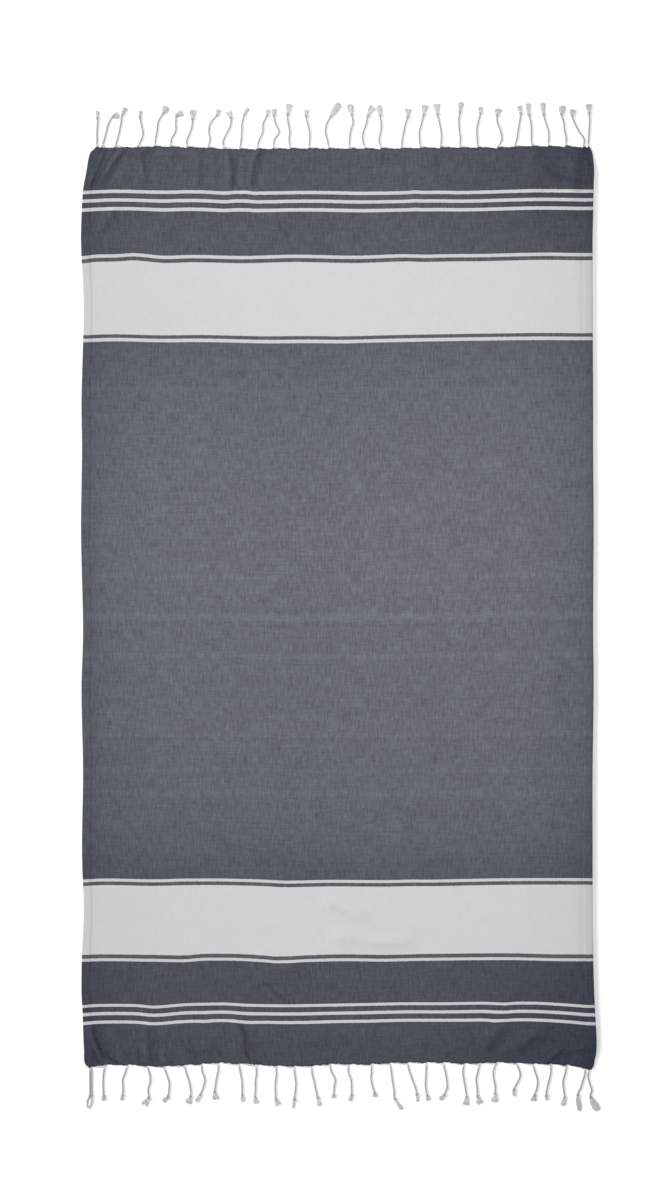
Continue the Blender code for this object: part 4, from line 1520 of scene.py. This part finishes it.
def cord_recipe(sizes, material):
    """Two-ply cords along guide lines. A tilt along each line twists them."""
    recipe = Recipe("twisted_cords")
    flatness = recipe.size("Flatness", sizes.flatness)
    ply_radius = recipe.size("Ply radius", sizes.ply_radius)
    ply_offset = recipe.size("Ply offset", sizes.ply_offset)
    turn = recipe.size("Turn", sizes.turn)
    step = recipe.size("Step", sizes.step)
    inputs = {0: recipe.source.outputs[0], 3: step}
    curve = recipe.add("GeometryNodeResampleCurve", inputs, mode="LENGTH").outputs[0]
    length = recipe.add("GeometryNodeSplineParameter").outputs["Length"]
    tilt = recipe.add("GeometryNodeInputCurveTilt").outputs[0]
    twist = recipe.math("MULTIPLY_ADD", recipe.math("DIVIDE", length, turn), 2 * math.pi, tilt)
    curve = recipe.add("GeometryNodeSetCurveTilt", {0: curve, "Tilt": twist}).outputs[0]
    curve = recipe.store(curve, "along", length)

    # The outline of two touching plies, as a radius for each direction
    circle = recipe.add("GeometryNodeCurvePrimitiveCircle", {0: 16, 4: 1.0}).outputs[0]
    direction = recipe.add("GeometryNodeInputPosition").outputs[0]
    circle = recipe.store(circle, "around", direction, "FLOAT_VECTOR")
    parts = recipe.add("ShaderNodeSeparateXYZ", {0: direction}).outputs
    aside = recipe.math("MULTIPLY", ply_offset, parts[1])
    inner = recipe.math("SUBTRACT", recipe.math("POWER", ply_radius, 2.0), recipe.math("POWER", aside, 2.0))
    reach = recipe.math("MULTIPLY", ply_offset, recipe.math("ABSOLUTE", parts[0]))
    radius = recipe.math("ADD", reach, recipe.math("SQRT", inner))
    outline = recipe.vector_math("SCALE", direction, Scale=radius)
    profile = recipe.add("GeometryNodeSetPosition", {0: circle, "Position": outline}).outputs[0]

    girth = recipe.add("GeometryNodeInputRadius").outputs[0]
    inputs = {0: curve, 1: profile, "Scale": girth, "Fill Caps": True}
    body = recipe.add("GeometryNodeCurveToMesh", inputs).outputs[0]
    recipe.end(on_floor(recipe, body, 0.0, flatness), material)
    return recipe


def stray_direction(recipe, place, scale):
    """Which way a yarn strays at a place, up to half a unit."""
    noise = recipe.add("ShaderNodeTexNoise", {"Vector": place, "Scale": scale, "Detail": 1.0}).outputs[1]
    return recipe.vector_math("SUBTRACT", noise, (0.5, 0.5, 0.5))


def yarn_recipe(sizes, material):
    """Single yarns along guide lines, a little unsteady."""
    recipe = Recipe("single_yarns")
    yarn = recipe.size("Yarn radius", sizes.yarn_radius)
    girth = recipe.add("GeometryNodeInputRadius").outputs[0]
    place = recipe.add("GeometryNodeInputPosition").outputs[0]
    stray = recipe.vector_math("SCALE", stray_direction(recipe, place, 190.0), Scale=YARN_STRAY * MM)
    lines = recipe.add("GeometryNodeSetPosition", {0: recipe.source.outputs[0], "Offset": stray}).outputs[0]
    section = recipe.add("GeometryNodeCurvePrimitiveCircle", {0: 5, 4: yarn}).outputs[0]
    lowest = recipe.math("MULTIPLY", yarn, girth)
    inputs = {0: on_floor(recipe, lines, lowest), 1: section, "Scale": girth, "Fill Caps": True}
    recipe.end(recipe.add("GeometryNodeCurveToMesh", inputs).outputs[0], material)
    return recipe


def on_floor(recipe, geometry, height, flatness=1.0):
    """Flatten a geometry and keep all of its points at least at a height."""
    place = recipe.add("GeometryNodeInputPosition").outputs[0]
    parts = recipe.add("ShaderNodeSeparateXYZ", {0: place}).outputs
    flat = recipe.math("MULTIPLY", parts[2], flatness)
    lifted = recipe.combine(parts[0], parts[1], recipe.math("MAXIMUM", flat, height))
    return recipe.add("GeometryNodeSetPosition", {0: geometry, "Position": lifted}).outputs[0]


def knot_recipe(sizes, material):
    """A knot at the end of each guide line: a strand that goes twice round the cord and in and out thrice."""
    recipe = Recipe("cord_knots")
    radius = recipe.size("Radius", sizes.knot_radius)
    strand = recipe.size("Strand", sizes.knot_strand)
    swing = recipe.size("Length", sizes.knot_length)
    seed = recipe.size("Seed", sizes.seed, "NodeSocketInt")
    ring = recipe.add("GeometryNodeCurvePrimitiveCircle", {0: 40, 4: 1.0}).outputs[0]
    turned = recipe.math("MULTIPLY", recipe.add("GeometryNodeSplineParameter").outputs["Factor"], 2 * math.pi)
    twice = recipe.math("MULTIPLY", turned, 2.0)
    thrice = recipe.math("MULTIPLY", turned, 3.0)
    wave = recipe.math("MULTIPLY_ADD", recipe.math("COSINE", thrice), KNOT_SWING, 1.0)
    out = recipe.math("MULTIPLY", radius, wave)
    path = recipe.combine(
        recipe.math("MULTIPLY", out, recipe.math("COSINE", twice)),
        recipe.math("MULTIPLY", out, recipe.math("SINE", twice)),
        recipe.math("MULTIPLY", swing, recipe.math("SINE", thrice)),
    )
    path = recipe.add("GeometryNodeSetPosition", {0: ring, "Position": path}).outputs[0]
    section = recipe.add("GeometryNodeCurvePrimitiveCircle", {0: 8, 4: strand}).outputs[0]
    knot = recipe.add("GeometryNodeCurveToMesh", {0: path, 1: section, "Scale": 1.0}).outputs[0]

    ends = recipe.add("GeometryNodeCurveEndpointSelection", {0: 0, 1: 1}).outputs[0]
    tangent = recipe.add("GeometryNodeInputTangent").outputs[0]
    girth = recipe.add("GeometryNodeInputRadius").outputs[0]
    index = recipe.add("GeometryNodeInputIndex").outputs[0]
    varied = recipe.math("MULTIPLY", girth, recipe.random(0.90, 1.12, index, seed))
    low = recipe.math("MULTIPLY", varied, KNOT_FLATNESS)
    facing = recipe.add(
        "FunctionNodeAxesToRotation",
        {0: tangent, 1: (0.0, 0.0, 1.0)},
        primary_axis="Z",
        secondary_axis="Y",
    ).outputs[0]
    inputs = {
        "Points": recipe.source.outputs[0],
        "Selection": ends,
        "Instance": knot,
        "Rotation": facing,
        "Scale": recipe.combine(varied, low, varied),
    }
    knots = recipe.add("GeometryNodeInstanceOnPoints", inputs).outputs[0]
    knots = recipe.add("GeometryNodeRealizeInstances", {0: knots}).outputs[0]
    recipe.end(on_floor(recipe, knots, 0.0), material)
    return recipe


def lock_lines(end, sizes):
    """Guide lines of an end's locks of yarn, from knot to tip. The radius is a lock's half width."""
    lines = []
    past = np.linspace(0.0, 1.0, 14)
    knot = sizes.knot_height / MM
    z = knot + (1.0 - knot) * ease(past / 0.5)
    for cord in CORDS[end]:
        x, y = cord_line(cord, end, KNOT_AT + past)
        for lock in (lock for lock in LOCKS if lock.tuft == cord.tuft):
            aside = lock.bow * np.sin(math.pi * past) + lock.end_aside * past**1.5
            widths = (3.0, lock.near_width, lock.middle_width, lock.end_width)
            half_width = smooth_values((0, 0.33, 0.67, 1.0), widths, past) / 2
            points = placed(*moved_aside(x, y, end, aside), z)
            lines.append((points, half_width * MM, 0.0))
    return lines


def place_in_lock(recipe, index, seed):
    """Where in its lock each yarn lies, as shares of the lock's half width and height."""
    angle = recipe.random(0.0, 2 * math.pi, index, recipe.math("ADD", seed, 1))
    out = recipe.math("SQRT", recipe.random(0.0, 1.0, index, recipe.math("ADD", seed, 2)))
    aside = recipe.math("MULTIPLY", out, recipe.math("COSINE", angle))
    above = recipe.math("MULTIPLY", out, recipe.math("SINE", angle))
    return aside, above


def tuft_recipe(sizes, material):
    """Locks of loose yarn along guide lines: each yarn keeps its place in the lock and curls at its end."""
    recipe = Recipe("yarn_tufts")
    yarn = recipe.size("Yarn radius", sizes.yarn_radius)
    fewest = recipe.size("Fewest yarns", sizes.fewest_yarns, "NodeSocketInt")
    per_mm = recipe.size("Yarns per mm", sizes.yarns_per_mm)
    curl = recipe.size("Curl", sizes.curl)
    seed = recipe.size("Seed", sizes.seed, "NodeSocketInt")
    width = recipe.add("GeometryNodeInputRadius").outputs[0]
    mean = recipe.add("GeometryNodeFieldOnDomain", {0: width}, domain="CURVE").outputs[0]
    count = recipe.math("MULTIPLY_ADD", recipe.math("DIVIDE", mean, MM), per_mm, fewest)
    inputs = {0: recipe.source.outputs[0], "Amount": count}
    yarns = recipe.add("GeometryNodeDuplicateElements", inputs, domain="SPLINE").outputs[0]

    index = recipe.add("GeometryNodeInputIndex").outputs[0]
    aside, above = place_in_lock(recipe, index, seed)
    own = {}
    for name, value in (("aside", aside), ("above", above), ("own", index)):
        own[name] = recipe.add("GeometryNodeFieldOnDomain", {0: value}, domain="CURVE").outputs[0]
    cut = recipe.random(0.90, 1.0, index, seed)
    cut = recipe.math("MULTIPLY_ADD", recipe.math("MULTIPLY", aside, aside), -0.08, cut)
    yarns = recipe.add("GeometryNodeTrimCurve", {0: yarns, 3: cut}).outputs[0]
    yarns = recipe.add("GeometryNodeResampleCurve", {0: yarns, 2: 10}).outputs[0]

    tangent = recipe.add("GeometryNodeInputTangent").outputs[0]
    across = recipe.vector_math("NORMALIZE", recipe.vector_math("CROSS_PRODUCT", tangent, (0.0, 0.0, 1.0)))
    sideways = recipe.math("MULTIPLY", own["aside"], width)
    height = recipe.math("MINIMUM", recipe.math("MULTIPLY", width, 0.5), LOCK_HALF_HEIGHT * MM)
    upwards = recipe.math("MULTIPLY", own["above"], height)
    offset = recipe.vector_math("SCALE", across, Scale=sideways)
    offset = recipe.vector_math("ADD", offset, recipe.combine(0.0, 0.0, upwards))

    factor = recipe.add("GeometryNodeSplineParameter").outputs["Factor"]
    place = recipe.add("GeometryNodeInputPosition").outputs[0]
    seen = recipe.combine(recipe.math("MULTIPLY", own["own"], 0.37), 0.0, 0.0)
    seen = recipe.vector_math("ADD", place, seen)
    stray = recipe.vector_math("MULTIPLY", stray_direction(recipe, seen, 140.0), (1.0, 1.0, 0.5))
    amount = recipe.math("MULTIPLY", recipe.math("MULTIPLY", curl, 4.0), factor)
    offset = recipe.vector_math("ADD", offset, recipe.vector_math("SCALE", stray, Scale=amount))
    yarns = recipe.add("GeometryNodeSetPosition", {0: yarns, "Offset": offset}).outputs[0]
    yarns = on_floor(recipe, yarns, yarn)

    section = recipe.add("GeometryNodeCurvePrimitiveCircle", {0: 5, 4: yarn}).outputs[0]
    taper = recipe.math("MULTIPLY_ADD", recipe.math("POWER", factor, 3.0), -TIP_THINNING, 1.0)
    inputs = {0: yarns, 1: section, "Scale": taper, "Fill Caps": True}
    recipe.end(recipe.add("GeometryNodeCurveToMesh", inputs).outputs[0], material)
    return recipe


def finish_fringe_piece(piece):
    """A piece of a fringe rides with the towel."""
    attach(piece, "root")


class TOWEL_OT_cords(Operator):
    """Twist the cords of both fringes"""

    bl_idname = "towel.cords"
    bl_label = "Twisted cords"

    def execute(self, context):
        settings = context.scene.hammam_towel
        recipe = cord_recipe(settings.fringe, cord_material(settings.colours))
        for end in ENDS:
            guide = guide_curve(end + "_cord_guide", cord_lines(end, settings.fringe))
            piece = recipe.grow(end + "_cords", guide)
            finish_fringe_piece(piece)
            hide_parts("fringe_" + end)
        return {"FINISHED"}


class TOWEL_OT_roots(Operator):
    """Gather the warp yarns along both ends at the roots of the cords"""

    bl_idname = "towel.roots"
    bl_label = "Root yarns"

    def execute(self, context):
        settings = context.scene.hammam_towel
        material = yarn_material("warp_cotton", settings.colours.tuft, 900.0, 0.35)
        recipe = yarn_recipe(settings.fringe, material)
        for end in ENDS:
            guide = guide_curve(end + "_root_guide", root_lines(end, settings.fringe))
            finish_fringe_piece(recipe.grow(end + "_roots", guide))
        return {"FINISHED"}


class TOWEL_OT_knots(Operator):
    """Tie a knot near the end of every cord"""

    bl_idname = "towel.knots"
    bl_label = "Knots"

    def execute(self, context):
        settings = context.scene.hammam_towel
        material = yarn_material("knotted_cotton", settings.colours.knot, 900.0, 0.35)
        recipe = knot_recipe(settings.fringe, material)
        for end in ENDS:
            guide = guide_curve(end + "_knot_guide", cord_lines(end, settings.fringe))
            finish_fringe_piece(recipe.grow(end + "_knots", guide))
        return {"FINISHED"}


class TOWEL_OT_tufts(Operator):
    """Fan out the loose yarn ends past every knot"""

    bl_idname = "towel.tufts"
    bl_label = "Yarn tufts"

    def execute(self, context):
        settings = context.scene.hammam_towel
        material = yarn_material("loose_cotton", settings.colours.tuft, 900.0, 0.4)
        recipe = tuft_recipe(settings.fringe, material)
        for end in ENDS:
            guide = guide_curve(end + "_tuft_guide", lock_lines(end, settings.fringe))
            finish_fringe_piece(recipe.grow(end + "_tufts", guide))
        return {"FINISHED"}


# ---------------------------------------------------------------- the stage


def add_area_light(name, place, aim, side, power):
    """A square soft light at a place, turned towards a point."""
    lamp = bpy.data.lights.new(name, "AREA")
    lamp.shape = "SQUARE"
    lamp.size = side
    lamp.energy = power
    item = bpy.data.objects.new(name, lamp)
    item.location = place
    item.rotation_euler = (Vector(aim) - Vector(place)).to_track_quat("-Z", "Y").to_euler()
    item.visible_camera = False
    bpy.context.scene.collection.objects.link(item)
    return item


class TOWEL_OT_stage(Operator):
    """Set up the floor, the soft lights and the camera straight above"""

    bl_idname = "towel.stage"
    bl_label = "Floor, lights and camera"

    def execute(self, context):
        settings = context.scene.hammam_towel.stage
        half = settings.floor_side / 2
        corners = [(-half, -half, 0), (half, -half, 0), (half, half, 0), (-half, half, 0)]
        mesh = bpy.data.meshes.new("floor")
        mesh.from_pydata(corners, [], [(0, 1, 2, 3)])
        floor = add_piece("floor", mesh)
        floor.data.materials.append(floor_material(settings.floor_glow))

        world = bpy.data.worlds.new("studio")
        context.scene.world = world
        world.use_nodes = True
        sky = world.node_tree.nodes["Background"]
        sky.inputs["Color"].default_value = (1.0, 1.0, 1.0, 1.0)
        sky.inputs["Strength"].default_value = settings.sky

        place, side = settings.overhead_place, settings.overhead_side
        add_area_light("overhead_light", place, (place[0], place[1], 0.0), side, settings.overhead_power)
        place, side = settings.key_place, settings.key_side
        add_area_light("key_light", place, (0.0, 0.0, 0.0), side, settings.key_power)

        camera = bpy.data.cameras.new("camera")
        camera.sensor_width = 36.0
        camera.lens = camera.sensor_width * settings.camera_height / settings.seen_length
        camera.clip_end = 100.0
        item = bpy.data.objects.new("camera", camera)
        item.location = placed(*PICTURE_MIDDLE, settings.camera_height / MM)[0]
        context.scene.collection.objects.link(item)
        context.scene.camera = item
        context.scene.view_settings.view_transform = "Standard"
        return {"FINISHED"}


class TOWEL_PT_panel(Panel):
    """The towel's pieces and their sizes"""

    bl_idname = "TOWEL_PT_panel"
    bl_label = "Hammam Towel"
    bl_space_type = "VIEW_3D"
    bl_region_type = "UI"
    bl_category = "Hammam Towel"

    def draw(self, context):
        settings = context.scene.hammam_towel
        for step in STEPS:
            self.layout.operator(step.bl_idname)
        for name in ("cloth", "colours", "stitches", "fringe", "stage"):
            group = getattr(settings, name)
            box = self.layout.box()
            box.label(text=name.capitalize())
            for field in type(group).__annotations__:
                box.prop(group, field)


STEPS = (
    TOWEL_OT_cloth,
    TOWEL_OT_stitches,
    TOWEL_OT_cords,
    TOWEL_OT_roots,
    TOWEL_OT_knots,
    TOWEL_OT_tufts,
    TOWEL_OT_stage,
)
GROUPS = (ClothSizes, YarnColours, StitchSizes, FringeSizes, StageSizes, TowelSettings)


def register():
    """Register the classes and the towel's settings."""
    for kind in GROUPS + STEPS + (TOWEL_PT_panel,):
        bpy.utils.register_class(kind)
    bpy.types.Scene.hammam_towel = PointerProperty(type=TowelSettings)


def unregister():
    """Undo register."""
    del bpy.types.Scene.hammam_towel
    for kind in reversed(GROUPS + STEPS + (TOWEL_PT_panel,)):
        bpy.utils.unregister_class(kind)


def main():
    """Build every piece in order."""
    register()
    for step in STEPS:
        group, name = step.bl_idname.split(".")
        getattr(getattr(bpy.ops, group), name)()


if __name__ == "__main__":
    main()
